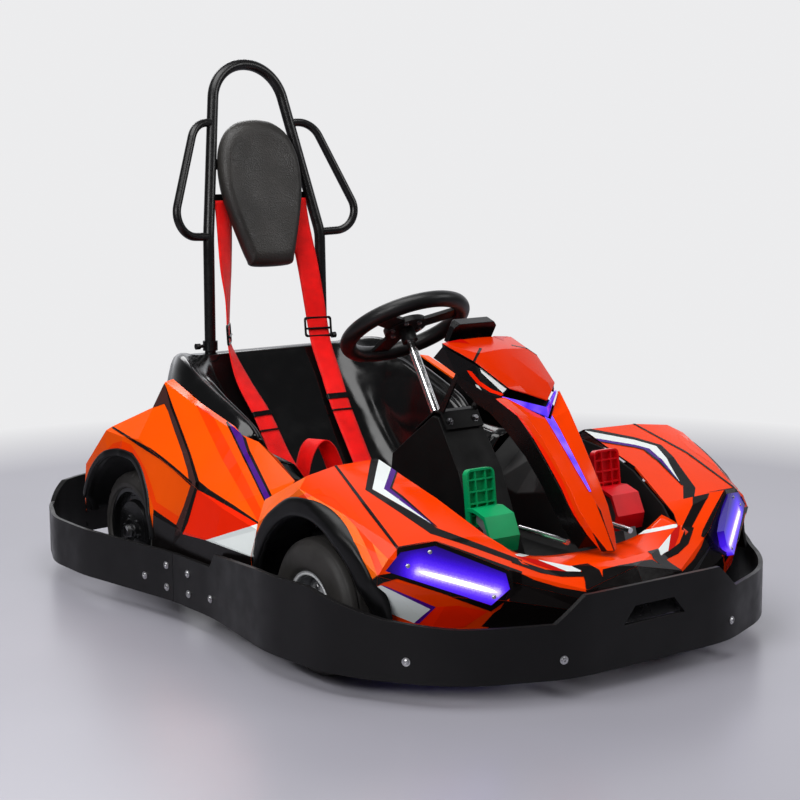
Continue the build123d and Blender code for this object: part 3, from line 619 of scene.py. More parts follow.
# By panel and crop: piece, film, layer, and the outline's x and y in the crop's own pixels
FILMS = (
    ("side_pod_right", POD_CROP, (
        ("pod_arch_band", "orange_red", 1, ((60, 830), (128, 760), (190, 650), (260, 575), (330, 555),
         (400, 585), (450, 660), (510, 770), (560, 900), (600, 1035), (775, 1150), (757, 1216), (580, 1092),
         (520, 900), (450, 740), (380, 655), (300, 615), (220, 640), (160, 720), (125, 830), (105, 980),
         (55, 960))),
        # Painted shade: a redder orange over one facet of the pod, standing in for that facet's shading
        ("pod_facet_painted_shade", "orange_red", 1, ((905, 262), (1035, 345), (1200, 660), (1420, 1095), (1400, 1195),
         (1110, 690))),
        ("pod_red_panel", "orange_signal", 1, ((922, 936), (1190, 1085), (1392, 1208), (985, 1334),
         (803, 1286))),
        ("pod_white_wedge", "white", 1, ((985, 1334), (1392, 1208), (1352, 1470))),
        ("pod_lower_black", "black_film", 2, ((578, 1092), (757, 1216), (803, 1286), (985, 1334),
         (1352, 1468), (1415, 1492), (1415, 1568), (560, 1568))),
        ("pod_arm", "brown_film", 2, ((560, 300), (648, 100), (668, 115), (720, 285), (775, 430), (860, 660),
         (925, 870), (922, 938), (865, 1120), (800, 1290), (725, 1385), (755, 1216), (815, 1070), (868, 908),
         (855, 870), (845, 790), (800, 640), (740, 470), (690, 320), (662, 265))),
        ("pod_arm_edge", "black_film", 3, ((668, 115), (683, 150), (730, 285), (785, 430), (870, 660),
         (935, 872), (940, 925), (922, 940), (850, 1190), (803, 1290), (792, 1280), (850, 1090), (905, 920),
         (910, 880), (850, 660), (765, 430), (712, 290))),
        ("pod_line_rear", "black_film", 3, ((248, 455), (262, 446), (400, 530), (560, 618), (645, 680),
         (760, 775), (880, 880), (872, 908), (745, 792), (630, 700), (490, 612), (390, 545))),
        ("pod_line_front", "black_film", 3, ((905, 890), (935, 872), (1010, 935), (1200, 1058), (1397, 1193),
         (1398, 1210), (1190, 1086), (1050, 1005), (960, 958), (922, 940))),
        ("pod_purple", "purple", 1, ((1155, 405), (1275, 510), (1310, 640), (1505, 1010), (1462, 1045),
         (1190, 480))),
        ("pod_purple_lines", "black_film", 2, ((1143, 412), (1157, 403), (1192, 478), (1300, 700),
         (1466, 1045), (1457, 1052), (1288, 705), (1180, 482))),
        ("pod_purple_edge", "black_film", 2, ((1273, 510), (1302, 535), (1332, 630), (1420, 810),
         (1515, 1005), (1500, 1016), (1400, 815), (1312, 640))),
    )),
    ("front_cowl", FENDER_CROP, (
        ("fender_arch_band", "orange_red", 1, ((-80, 440), (0, 398), (150, 335), (260, 375), (350, 450),
         (425, 565), (500, 700), (560, 850), (605, 950), (552, 968), (515, 860), (460, 735), (400, 620),
         (325, 500), (230, 412), (120, 385), (0, 430), (-80, 480))),
        ("fender_crease_line", "black_film", 2, ((244, 186), (260, 180), (480, 470), (700, 762), (686, 776),
         (462, 485))),
        ("fender_chevron_black", "black_film", 1, ((508, 122), (565, 138), (515, 352), (760, 492), (930, 592),
         (975, 628), (1200, 712), (1580, 856), (1580, 892), (1180, 748), (930, 668), (700, 510), (465, 355))),
        ("fender_chevron_white", "white", 2, ((563, 130), (655, 180), (650, 200), (597, 350), (700, 420),
         (935, 598), (760, 492), (515, 352))),
        ("fender_chevron_purple", "purple", 2, ((655, 180), (692, 205), (685, 225), (642, 345), (720, 408),
         (960, 612), (935, 598), (700, 425), (597, 350), (648, 198))),
        ("fender_chevron_edge", "black_film", 3, ((690, 200), (700, 212), (655, 345), (735, 405), (985, 628),
         (958, 614), (720, 412), (640, 346), (684, 225))),
        ("headlight_bezel", "black_film", 3, ((697, 764), (958, 718), (1250, 820), (1580, 940), (1580, 1060),
         (1520, 1110), (1360, 1220), (1000, 1090), (690, 990), (600, 1012), (485, 1072), (405, 1130),
         (430, 1080), (520, 990), (552, 966), (670, 945), (688, 930), (690, 775))),
        ("nose_white_shard", "white", 1, ((488, 1071), (577, 1034), (930, 1205), (812, 1304), (598, 1218))),
        ("nose_shard_edge", "purple", 2, ((577, 1034), (603, 1038), (967, 1190), (850, 1306), (812, 1304),
         (930, 1205))),
        # Painted shade: a redder orange over one facet of the nose, standing in for that facet's shading
        ("nose_facet_painted_shade", "orange_signal", 1, ((850, 1306), (967, 1190), (1130, 1180), (1340, 1222),
         (1165, 1335), (1000, 1345))),
    )),
    ("front_cowl", LAMP_CROP, (
        ("nose_lower_black", "black_film", 3, ((546, 622), (590, 640), (640, 664), (740, 694), (852, 713),
         (905, 694), (900, 730), (800, 850), (500, 860), (420, 855), (470, 800), (530, 760), (552, 700))),
    )),
    ("front_cowl", NOSE_CROP, (
        ("nose_front_black", "black_film", 3, ((588, 640), (700, 612), (880, 583), (905, 640), (914, 770),
         (586, 800))),
    )),
    ("steering_fairing", LAMP_CROP, (
        ("blade_ridge_line", "black_film", 1, ((892, 338), (900, 336), (942, 440), (982, 548), (972, 552),
         (934, 444))),
    )),
    ("front_cowl", NOSE_CROP, (
        ("nose_band", "black_film", 3, ((120, 500), (215, 466), (400, 555), (565, 642), (592, 705),
         (588, 800), (470, 800), (462, 720), (440, 650), (250, 560))),
        ("nose_white_strip", "white", 2, ((35, 532), (120, 508), (300, 575), (436, 634), (432, 655),
         (330, 652), (180, 592))),
    )),
    ("nose_shelf", NOSE_CROP, (
        ("shelf_white_strip", "white", 1, ((-66, 560), (-40, 530), (35, 520), (128, 498), (120, 520),
         (40, 545))),
    )),
    ("front_cowl", NOSE_CROP, (
        ("nose_red_strip", "dark_red", 1, ((-30, 545), (35, 532), (180, 592), (330, 652), (250, 648),
         (100, 600))),
        ("nose_curve", "black_film", 2, ((-60, 560), (60, 600), (180, 640), (330, 654), (450, 655),
         (460, 690), (300, 692), (150, 665), (0, 612), (-60, 590))),
    )),
    ("fairing_hood", HOOD_CROP, (
        ("hood_seam", "black_film", 1, ((308, 140), (330, 146), (276, 248), (256, 248))),
        ("hood_red_facet", "dark_red", 1, ((14, 100), (30, 92), (165, 66), (235, 110), (150, 98), (60, 98))),
    )),
    ("fairing_cheeks", CHEEK_CROP, (
        ("cheek_white_upper", "white", 1, ((298, 236), (345, 245), (442, 333), (412, 362), (306, 262))),
        ("cheek_red_line", "orange_signal", 1, ((234, 250), (258, 256), (302, 308), (360, 346), (412, 366),
         (420, 382), (350, 360), (290, 322), (250, 276))),
        ("cheek_white_lower", "white", 1, ((276, 320), (292, 326), (322, 372), (318, 384), (288, 354))),
    )),
    ("steering_fairing", HOOD_CROP, (
        ("blade_bevel_red", "orange_signal", 1, ((425, 535), (560, 610), (640, 690), (720, 800), (835, 960),
         (960, 1180), (1130, 1590), (1115, 1600), (1060, 1470), (860, 1080), (690, 790), (560, 640))),
    )),
)


def camera_planes(triangle):
    """Three planes through the camera and the triangle's sides, as (point, inward normal)."""
    rays = [pixel_ray(p) for p in triangle]
    planes = []
    for k in range(3):
        a, b, opposite = rays[k], rays[(k + 1) % 3], rays[(k + 2) % 3]
        normal = a.cross(b)
        planes.append((CAMERA_AT, normal if normal.dot(opposite) > 0 else -normal))
    return planes


def clip(polygon, planes):
    """The part of a flat polygon on the inner side of all planes."""
    for point, normal in planes:
        kept = []
        for k, corner in enumerate(polygon):
            after = polygon[(k + 1) % len(polygon)]
            here, there = (corner - point).dot(normal), (after - point).dot(normal)
            if here >= 0:
                kept.append(corner)
            if here * there < 0:
                kept.append(corner.lerp(after, here / (here - there)))
        polygon = kept
        if len(polygon) < 3:
            return []
    return polygon


def seen_faces(mesh):
    """The faces that look towards the camera, as corners and normals."""
    found = []
    for face in mesh.polygons:
        if face.normal.dot(CAMERA_AT - face.center) > 0:
            found.append(([mesh.vertices[i].co.copy() for i in face.vertices], face.normal.copy()))
    return found


def cut_film(name, mesh, material, layer, outline):
    """A film on a panel's mesh under an outline in photo pixels, with its copy on the other side."""
    tree = tree_of(mesh)
    middle = (Vector((0, 0, 0)), Vector((-1, 0, 0)))
    points, faces = [], []
    for triangle in tessellate_polygon([[Vector((x, y, 0)) for x, y in outline]]):
        planes = camera_planes([outline[i] for i in triangle]) + [middle]
        for corners, normal in seen_faces(mesh):
            cut = clip(corners, planes)
            if not cut:
                continue
            gaze = sum(cut, Vector()) / len(cut) - CAMERA_AT
            hit = tree.ray_cast(CAMERA_AT, gaze.normalized())
            if hit[0] is not None and hit[3] < gaze.length - HIDDEN_BEHIND:
                continue
            base = len(points)
            points += [corner + normal * FILM_LIFT * layer for corner in cut]
            faces.append(tuple(range(base, len(points))))
    skin = add_mesh(name, *mirrored(points, faces), smooth=True)
    mend(skin, WELD_REACH, outwards=False, fold=SOFT_ANGLE)
    add_piece(name, skin, material)


def films():
    for panel, (left, top, scale), pieces in FILMS:
        mesh = (nodes[panel] if panel in nodes else bpy.data.objects[panel]).data
        for name, material, layer, outline in pieces:
            cut_film(name, mesh, material, layer, [(left + x / scale, top + y / scale) for x, y in outline])


# Seat: the same sections as the shell's, drawn through with smooth curves


# Millimetres: the y of each section, and x and z of its points from the rim inwards
SEAT_SECTIONS = (
    (516, ((256, 392), (244, 436), (196, 440), (170, 440), (150, 440), (110, 440), (60, 440))),
    (512, ((262, 400), (240, 472), (200, 477), (172, 477), (150, 477), (110, 477), (60, 477))),
    (474, ((290, 382), (256, 480), (200, 481), (177, 480), (152, 480), (110, 480), (60, 480))),
    (460, ((298, 380), (262, 484), (212, 481), (184, 476), (160, 470), (112, 465), (60, 464))),
    (414, ((318, 380), (280, 486), (240, 474), (208, 461), (184, 430), (146, 409), (60, 405))),
    (360, ((330, 390), (290, 472), (264, 460), (238, 449), (206, 400), (166, 350), (60, 342))),
    (313, ((331, 396), (292, 452), (272, 446), (252, 441), (212, 370), (178, 294), (60, 280))),
    (250, ((330, 380), (291, 430), (272, 420), (256, 412), (216, 320), (186, 228), (60, 212))),
    (188, ((330, 368), (290, 408), (272, 396), (256, 387), (220, 296), (200, 190), (60, 178))),
    (130, ((330, 348), (288, 385), (272, 373), (258, 364), (222, 280), (206, 184), (60, 170))),
    (98, ((326, 328), (286, 360), (272, 350), (260, 341), (224, 262), (208, 182), (60, 169))),
    (84, ((322, 322), (296, 334), (280, 330), (264, 324), (225, 256), (209, 182), (60, 169))),
    (-30, ((312, 318), (298, 322), (280, 316), (264, 308), (226, 250), (210, 188), (60, 178))),
)
SEAT_PARTS = 4
SEAT_T = 0.004


def seat():
    rows = []
    for y, half in SEAT_SECTIONS:
        section = [(x, y, z) for x, z in half] + [(-x, y, z) for x, z in reversed(half)]
        rows.append(smooth_line(section, SEAT_PARTS))
    columns = [smooth_line([row[k] for row in rows], SEAT_PARTS) for k in range(len(rows[0]))]
    points = [Vector(point) * MM for row in zip(*columns) for point in row]
    form = points, grid_faces(len(columns[0]), len(columns))
    piece = add_piece("seat_moulding", form, "seat_black", smooth=True)
    thicken(piece, SEAT_T, 1 if piece.data.polygons[0].normal.z < 0 else -1)
    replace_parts(piece, "seat_shell")


# Headrest pad: integral foam with a soft border and a dished front


HOOP_SLOPE = 0.209
PAD_MIDDLE = Vector((0, 0.5132, 0.836))
PAD_LEVEL = 836.0
# Millimetres: height and half width from the bottom to the top, with the pad's middle at PAD_LEVEL
PAD_OUTLINE = ((673, 44), (688, 59), (735, 75), (790, 91), (845, 103), (900, 104), (942, 95), (974, 76),
               (994, 47), (1001, 16))
# Rings from the back to the middle of the front: share of the outline, millimetres above the hoop's plane
PAD_RINGS = ((0.0, -4), (0.5, -4), (0.9, -4), (0.98, -3), (1.02, 0), (1.035, 6), (1.03, 12), (1.01, 18),
             (0.975, 24), (0.93, 28), (0.88, 30.2), (0.84, 30.9), (0.8, 30.6), (0.7, 30), (0.5, 29.6),
             (0.25, 29.4), (0.0, 29.3))
PAD_PARTS = 5
PAD_MERGE = 1e-5


def headrest():
    right = [(w, z - PAD_LEVEL) for z, w in PAD_OUTLINE]
    loop = np.array(right + [(-w, z) for w, z in reversed(right)], float)
    spans = [loop.take(range(k - 1, k + 3), axis=0, mode="wrap") for k in range(len(loop))]
    edge = [curve_point(*span, step / PAD_PARTS).tolist() for span in spans for step in range(PAD_PARTS)]
    normal = Vector((0, -1, HOOP_SLOPE)).normalized()
    up = Vector((0, HOOP_SLOPE, 1)).normalized()
    points = []
    for share, height in PAD_RINGS:
        for w, z in edge:
            across = Vector((w * share, 0, 0)) * MM
            points.append(PAD_MIDDLE + across + up * (z * share * MM) + normal * (height * MM))
    faces = grid_faces(len(PAD_RINGS), len(edge), closed=True)
    mesh = add_mesh("headrest_cushion", points, faces, smooth=True)
    mend(mesh, PAD_MERGE)
    piece = add_piece("headrest_cushion", mesh, "foam")
    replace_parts(piece, "headrest_pad")


# Harness: flat webbing along its routes


STRAP_W = 0.05
LAP_W = 0.044
STRAP_T = 0.0022
STRAP_CROWN = 0.0008
# Millimetres: x, y, z of the middle of the right shoulder strap, and its turn from the x axis in degrees
SHOULDER_ROUTE = ((-99, 517, 824, 14), (-102, 506, 760, 18), (-111, 488, 672, 30), (-116, 474, 600, 48),
                  (-123, 462, 515, 54), (-122, 445, 474, 44), (-118, 405, 417, 22), (-107, 351, 352, 8),
                  (-102, 278, 262, 2), (-92, 236, 224, 0), (-66, 190, 196, 0))
FAR_TURNS = (-12, -16, -20, -20, -14, -12, -10, -6, -2, 0, 0)
FAR_ROUTE = tuple((-x, y, z, turn) for (x, y, z, _), turn in zip(SHOULDER_ROUTE, FAR_TURNS))
# The spare end of the near strap, standing up as a loop in the seat
LOOP_ROUTE = ((-98, 208, 214, 98), (-92, 204, 262, 102), (-78, 202, 296, 108), (-58, 200, 309, 114),
              (-38, 198, 294, 118), (-24, 194, 262, 120), (-15, 186, 226, 118), (-12, 168, 206, 114))
LAP_ROUTE = ((-202, 196, 262, 88), (-188, 180, 224, 76), (-130, 130, 193, 50), (-60, 112, 187, 80))
FAR_LAP_ROUTE = tuple((-x, y, z, -turn) for x, y, z, turn in LAP_ROUTE)

# Adjusters and elastic keepers: strap, height in millimetres, and the keeper's depth and room in metres
SLIDERS = ((SHOULDER_ROUTE, 526), (FAR_ROUTE, 520))
KEEPERS = ((SHOULDER_ROUTE, 352, 0.012, 0.0012), (SHOULDER_ROUTE, 322, 0.004, 0.001),
           (FAR_ROUTE, 372, 0.014, 0.0012), (FAR_ROUTE, 338, 0.004, 0.001))
SLIDER_HALF_W, SLIDER_HALF_H = 0.0315, 0.0215
SLIDER_CORNER = 0.006
SLIDER_WIRE = (0.0034, 0.0028)
SLIDER_LIFT = 0.0012
# The middle bar: radius and distance along it, and where it starts from the strap's middle
SLIDER_BAR = ((0.0024, 0), (0.0027, 0.004), (0.0027, 0.056), (0.0024, 0.06))
BAR_SIDE, BAR_LIFT, BAR_DROP = 0.03, 0.0042, 0.004
KEEPER_HALF, KEEPER_CORNER, KEEPER_T = 0.0026, 0.002, 0.001


def level_turn(turn):
    """The level direction at a turn in degrees from the x axis."""
    return Vector((cos(radians(turn)), sin(radians(turn)), 0))


def ribbon(route, width, across=6, parts=8):
    """A strip of webbing along a smooth route, and the length along its middle."""
    line = smooth_line(route, parts)
    middles = [Vector(spot[:3]) * MM for spot in line]
    length = sum((after - here).length for here, after in zip(middles, middles[1:]))
    points = []
    for middle, spot in zip(middles, line):
        side = level_turn(spot[3])
        for j in range(across + 1):
            share = j / across * 2 - 1
            crown = STRAP_CROWN * (1 - share * share)
            points.append(middle + side * (share * width / 2) + Vector((0, -crown, 0)))
    return (points, grid_faces(len(line), across + 1)), length


def webbing_piece(name, route, width, rests_on, *node_names):
    form, length = ribbon(route, width)
    piece = add_piece(name, form, "webbing", smooth=True)
    thicken(piece, STRAP_T)
    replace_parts(piece, *node_names)


def along_route(route, height):
    """Place, side, way up and outward normal of a strap where it passes a height in millimetres."""
    line = smooth_line(route, 8)
    k = min(range(1, len(line) - 1), key=lambda i: abs(line[i][2] - height))
    side = level_turn(line[k][3])
    up = Vector(line[k - 1][:3]) - Vector(line[k + 1][:3])
    up = (up - side * up.dot(side)).normalized()
    return Vector(line[k][:3]) * MM, side, up, side.cross(up) * (1 if side.cross(up).y < 0 else -1)


def loop_path(half_w, half_h, corner, steps=5):
    """A rectangle with round corners, as pairs across and up."""
    path = []
    for k, (sx, sy) in enumerate(((1, 1), (-1, 1), (-1, -1), (1, -1))):
        for step in range(steps):
            turn = pi / 2 * (k + step / (steps - 1))
            across = sx * (half_w - corner) + corner * cos(turn)
            path.append((across, sy * (half_h - corner) + corner * sin(turn)))
    return path


def slider(route, height):
    """A moulded three-bar adjuster on a strap."""
    place, side, up, normal = along_route(route, height)
    path = loop_path(SLIDER_HALF_W, SLIDER_HALF_H, SLIDER_CORNER)
    points = []
    for a, b in path:
        middle = place + side * a + up * b + normal * SLIDER_LIFT
        out = (side * (a / SLIDER_HALF_W) + up * (b / SLIDER_HALF_H)).normalized()
        for lean in WIRE_TURNS:
            points.append(middle + out * (SLIDER_WIRE[0] * cos(lean)) + normal * (SLIDER_WIRE[1] * sin(lean)))
    start = place - side * BAR_SIDE + normal * BAR_LIFT - up * BAR_DROP
    rim = points, grid_faces(len(path), len(WIRE_TURNS), closed=True, ringed=True)
    return join([rim, turned(SLIDER_BAR, 8, start, side)])


def keeper(route, height, depth, grow):
    """An elastic band round a strap."""
    place, side, up, normal = along_route(route, height)
    path = loop_path(STRAP_W / 2 + grow, KEEPER_HALF + grow, KEEPER_CORNER)
    points = []
    for level in (-depth / 2, depth / 2):
        points += [place + side * a + normal * b + up * level for a, b in path]
    return points, grid_faces(2, len(path), closed=True)


def strap_fittings():
    sliders = join([slider(*spot) for spot in SLIDERS])
    piece = add_piece("strap_sliders", sliders, "black_moulded", smooth=True)
    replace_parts(piece, "strap_adjusters")
    bands = join([keeper(*spot) for spot in KEEPERS])
    thicken(add_piece("strap_keepers", bands, "black_moulded"), KEEPER_T)


def harness():
    hoop_and_seat, seat_alone = ["roll_hoop", "seat_moulding"], ["seat_moulding"]
    webbing_piece("shoulder_webbing_right", SHOULDER_ROUTE, STRAP_W, hoop_and_seat, "shoulder_strap_right")
    webbing_piece("shoulder_webbing_left", FAR_ROUTE, STRAP_W, hoop_and_seat, "shoulder_strap_left")
    webbing_piece("lap_webbing_right", LAP_ROUTE, LAP_W, seat_alone, "lap_belt")
    webbing_piece("lap_webbing_left", FAR_LAP_ROUTE, LAP_W, seat_alone)
    webbing_piece("strap_end_loop", LOOP_ROUTE, LAP_W, seat_alone)
    strap_fittings()


# Tyres and wheels


# Millimetres: radius of the rim, width and width of the shoulder, then the grooves' distances from the middle
FRONT_TYRE, FRONT_GROOVES = (64, 108, 14), (26, 2, -24)
REAR_TYRE, REAR_GROOVES = (88, 80, 10), (14, -14)
TYRE_R = 127
# The tread begins at this radius
TREAD_R = 116
GROOVE_DEPTH, GROOVE_HALF = 2.2, 1.7
# The rear tyres' pattern: steps from one cut to the next, its width, the shift between the two halves of
# the tread, the width of tread that shifts by one step, and the plain middle
CUT_DEPTH = 2.6
CUT_PITCH, CUT_WIDTH, CUT_SHIFT = 10, 2, 5
CUT_SLANT, CUT_PLAIN = 9, 5

# Turned forms as radius and height, and how far out of the wheel's middle they sit
HUB_NUT, HUB_NUT_X = ((0.016, 0), (0.016, 0.0012), (0.0125, 0.002), (0.0125, 0.011), (0.011, 0.013)), 0.0395
HUB_BOLT, HUB_BOLT_X = ((0.0042, 0), (0.0042, 0.0028), (0.003, 0.0035)), 0.0344
RIM_NUT, RIM_NUT_X = ((0.014, 0), (0.014, 0.002), (0.0115, 0.003), (0.0115, 0.012), (0.009, 0.014)), 0.0325
RIM_BOLT, RIM_BOLT_X = ((0.006, 0), (0.006, 0.005), (0.0045, 0.006)), 0.0168
# Bolt circles as radius, number of bolts and first angle
HUB_CIRCLE = (0.03, 6, 0.3)
RIM_CIRCLE = (0.036, 4, 0.5)
# Rings as radius, distance out and thickness of the wire
HUB_RINGS = ((0.052, 0.0312, 0.0009), (0.074, 0.0217, 0.0009))
# The ring on the front rims' lip is light grey, a painted highlight
RIM_LIP_HIGHLIGHT = (0.0625, 0.047, 0.003)


def tyre_profile(rim_r, width, crown):
    """Half of the section: radius and distance from the wheel's middle, in millimetres."""
    half = width / 2
    return [(rim_r + 1, half - 8), (rim_r + 8, half - 1), (rim_r + 16, half + 0.5), (95, half),
            (104, half - 1.5), (113, half - 5), (119, half - crown + 3), (123, half - crown),
            (125.5, half - crown - 5), (TYRE_R, half - crown - 12)]


def tread_depth(r, x, step, grooves, bars):
    """How deep the tread is cut at a point of the section, at a step of the way round."""
    if r <= TREAD_R:
        return 0.0
    depth = max([GROOVE_DEPTH * max(0, 1 - (abs(x - g) / GROOVE_HALF) ** 2) for g in grooves] + [0])
    shift = (CUT_SHIFT if x > 0 else 0) + int(abs(x) / CUT_SLANT)
    if bars and (step + shift) % CUT_PITCH < CUT_WIDTH and abs(x) > CUT_PLAIN:
        depth = max(depth, CUT_DEPTH)
    return depth


def tyre(name, node, place, sizes, grooves, bars, body):
    """A tyre with grooves at distances from its middle and, where bars is set, a pattern across."""
    section = [tuple(p) for p in smooth_line(tyre_profile(*sizes), 3)]
    section += [(TYRE_R, x) for x in np.linspace(section[-1][1] - 1.5, 0.5, 14)]
    section += [(r, -x) for r, x in reversed(section)]
    steps = 240 if bars else 96
    points = []
    for r, x in section:
        for k in range(steps):
            turn = 2 * pi * k / steps
            radius = (r - tread_depth(r, x, k, grooves, bars)) * MM
            points.append(place + Vector((x * MM, sin(turn) * radius, cos(turn) * radius)))
    mesh = add_mesh(name, points, grid_faces(len(section), steps, closed=True), smooth=not bars)
    mend(mesh)
    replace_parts(add_piece(name, mesh, "tyre", body), node)


def bolt_circle(profile, middle, out, reach, count, first):
    """Bolts evenly round a wheel's axle, the first at an angle from straight up."""
    turns = [2 * pi * k / count + first for k in range(count)]
    spots = [middle + Vector((0, sin(turn) * reach, cos(turn) * reach)) for turn in turns]
    return [turned(profile, 6, spot, out) for spot in spots]


def wheels():
    for side, sign in SIDES:
        front, rear = (Vector((axle.x * sign, axle.y, axle.z)) for axle in (FRONT_AXLE, REAR_AXLE))
        front_body, rear_body = "front_wheel_" + side, "rear_wheel_" + side
        out = Vector((sign, 0, 0))
        grooves = [x * sign for x in FRONT_GROOVES]
        tyre("front_tyre_" + side, "tyre_front_" + side, front, FRONT_TYRE, grooves, False, front_body)
        tyre("rear_tyre_" + side, "tyre_rear_" + side, rear, REAR_TYRE, REAR_GROOVES, True, rear_body)
        trim = [turned(HUB_NUT, 6, rear + out * HUB_NUT_X, out)]
        trim += bolt_circle(HUB_BOLT, rear + out * HUB_BOLT_X, out, *HUB_CIRCLE)
        trim += [ring(rear + out * x, out, radius, wire, 72) for radius, x, wire in HUB_RINGS]
        add_piece("hub_motor_trim_" + side, join(trim), "dark_steel", rear_body)
        # The lip ring's light grey is a painted highlight
        radius, x, wire = RIM_LIP_HIGHLIGHT
        edge = ring(front + out * x, out, radius, wire, 96)
        add_piece("rim_lip_highlight_" + side, edge, "rim_lip_highlight", front_body, smooth=True)
        nuts = [turned(RIM_NUT, 6, front + out * RIM_NUT_X, out)]
        nuts += bolt_circle(RIM_BOLT, front + out * RIM_BOLT_X, out, *RIM_CIRCLE)
        add_piece("rim_nuts_" + side, join(nuts), "bright_steel", front_body)


# Wheel arches


# Liners: axle, radius, nearest x, first and last angle in degrees
LINERS = {
    "front_arch_liners": (FRONT_AXLE, 0.172, 0.37, 6, 176),
    "rear_arch_liners": (REAR_AXLE, 0.168, 0.335, 6, 174),
}
LINER_T = 0.002
LINER_INSIDE = 0.003
LINER_ROWS, LINER_COLUMNS = 7, 49
# The foot of a liner leans away from the steered tyre, from a depth inside its edge and over a distance
LINER_FLARE, FLARE_FROM, FLARE_OVER = 0.013, 0.005, 0.025
# A corner of the CAD's lips this near to the liner's radius belongs to the liner's edge
LIP_NEAR = 0.0012

# Arch lips, by degrees round the arch from the rear: inner and outer radius
FRONT_LIP = ((4, 0.17, 0.197), (40, 0.17, 0.199), (75, 0.169, 0.2035), (95, 0.166, 0.203),
             (110, 0.162, 0.198), (125, 0.157, 0.194), (140, 0.153, 0.194), (155, 0.152, 0.198),
             (168, 0.153, 0.202), (176, 0.154, 0.205))
REAR_LIP = ((6, 0.165, 0.178), (60, 0.165, 0.18), (90, 0.165, 0.181), (130, 0.165, 0.18), (174, 0.165, 0.178))
# Bands over the lips: panel, axle, lip and least distance from the kart's middle
ARCH_BANDS = {
    "front_arch_bands": ("front_cowl", FRONT_AXLE, FRONT_LIP, 0.445),
    "rear_arch_bands": ("side_pod_right", REAR_AXLE, REAR_LIP, 0.44),
}
# Rays look for the panel's skin from outside it, and no nearer to the axle than the arch's opening
ARCH_OPENING = 0.1745
OUTSIDE_X = 0.6
# Places across the band, steps along it, and how often its height is evened out
BAND_SHARES = (0.0, 0.12, 0.3, 0.5, 0.7, 0.88, 1.0)
BAND_STEPS = 73
BAND_EVENINGS = 6
# How far the band stands proud of the skin, and how much less at its edges
BAND_PROUD, BAND_EASE = 0.0045, 0.0022
# How far its inner and outer folds go in, and how much wider the outer one is
INNER_FOLD, OUTER_FOLD, OUTER_GROW = 0.018, 0.009, 0.0006


def round_axle(axle, x, reach, turn):
    """A point on the kart's right, at a reach from an axle and a turn from straight back."""
    return Vector((-x, axle.y + reach * cos(turn), axle.z + reach * sin(turn)))


def liner_edge(axle, radius):
    """How far out the CAD's lips reach, by the turn round the axle."""
    edge = {}
    for lip in [v.co for v in nodes["arch_lips"].data.vertices if v.co.x < 0]:
        away = Vector((lip.y - axle.y, lip.z - axle.z))
        if abs(away.length - radius) < LIP_NEAR:
            turn = round(float(np.arctan2(away.y, away.x)), 3)
            edge[turn] = max(edge.get(turn, 0), -lip.x)
    return zip(*sorted(edge.items()))


def liners():
    for name, (axle, radius, near_x, first, last) in LINERS.items():
        turns, reaches = liner_edge(axle, radius)
        points = []
        for share in np.linspace(0, 1, LINER_ROWS):
            for turn in np.linspace(radians(first), radians(last), LINER_COLUMNS):
                far_x = float(np.interp(turn, turns, reaches)) - LINER_INSIDE
                depth = (far_x - near_x) * (1 - share)
                flare = LINER_FLARE * abs(cos(turn)) * min(1, max(0, (depth - FLARE_FROM) / FLARE_OVER))
                x = near_x + (far_x - near_x) * share
                points.append(round_axle(axle, x, radius - LINER_INSIDE + flare, turn))
        form = mirrored(points, grid_faces(LINER_ROWS, LINER_COLUMNS))
        thicken(add_piece(name, form, "panel_inside", smooth=True), LINER_T)


def arch_band(panel, axle, lip, least):
    """A moulded band of even sweep round a wheel arch, lying just proud of the panel's outer skin."""
    tree = tree_of(nodes[panel].data)
    degrees_round, inner, outer = np.array(lip).T
    turns = np.linspace(radians(lip[0][0]), radians(lip[-1][0]), BAND_STEPS)
    reach = np.zeros((len(turns), len(BAND_SHARES)))
    out = np.full_like(reach, least)
    for i, turn in enumerate(turns):
        near, far = (np.interp(np.degrees(turn), degrees_round, radii) for radii in (inner, outer))
        for j, share in enumerate(BAND_SHARES):
            reach[i, j] = near + (far - near) * share
            start = round_axle(axle, OUTSIDE_X, max(reach[i, j], ARCH_OPENING), turn)
            place = tree.ray_cast(start, Vector((1, 0, 0)))[0]
            if place is not None:
                out[i, j] = max(least, -place.x)
    smooth = out.copy()
    for _ in range(BAND_EVENINGS):
        smooth[1:-1] = (smooth[:-2] + 2 * smooth[1:-1] + smooth[2:]) / 4
    smooth = np.maximum(smooth, out) + BAND_PROUD
    ease = np.array([BAND_EASE if share in (0, 1) else 0 for share in BAND_SHARES])
    points = []
    for turn, radii, skin in zip(turns, reach, smooth):
        row = [(radii[0], skin[0] - INNER_FOLD), *zip(radii, skin - ease)]
        row.append((radii[-1] + OUTER_GROW, skin[-1] - OUTER_FOLD))
        points += [round_axle(axle, x, radius, turn) for radius, x in row]
    return points, grid_faces(len(turns), len(BAND_SHARES) + 2)


def arch_lips():
    for name, band in ARCH_BANDS.items():
        piece = add_piece(name, mirrored(*arch_band(*band)), "lip_black", smooth=True)
        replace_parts(piece, "arch_lips")


# Shelf of the cowl behind the nose


# Millimetres: x, front y and z, rear y and z
SHELF = ((-206, -672, 222, -600, 243), (-150, -690, 203, -606, 218), (-100, -708, 195, -611, 209),
         (-50, -718, 199, -615, 207), (0, -728, 202, -617, 206))
SHELF_CROWN = 3.0
SHELF_T = 0.003
SHELF_COLUMNS = 9


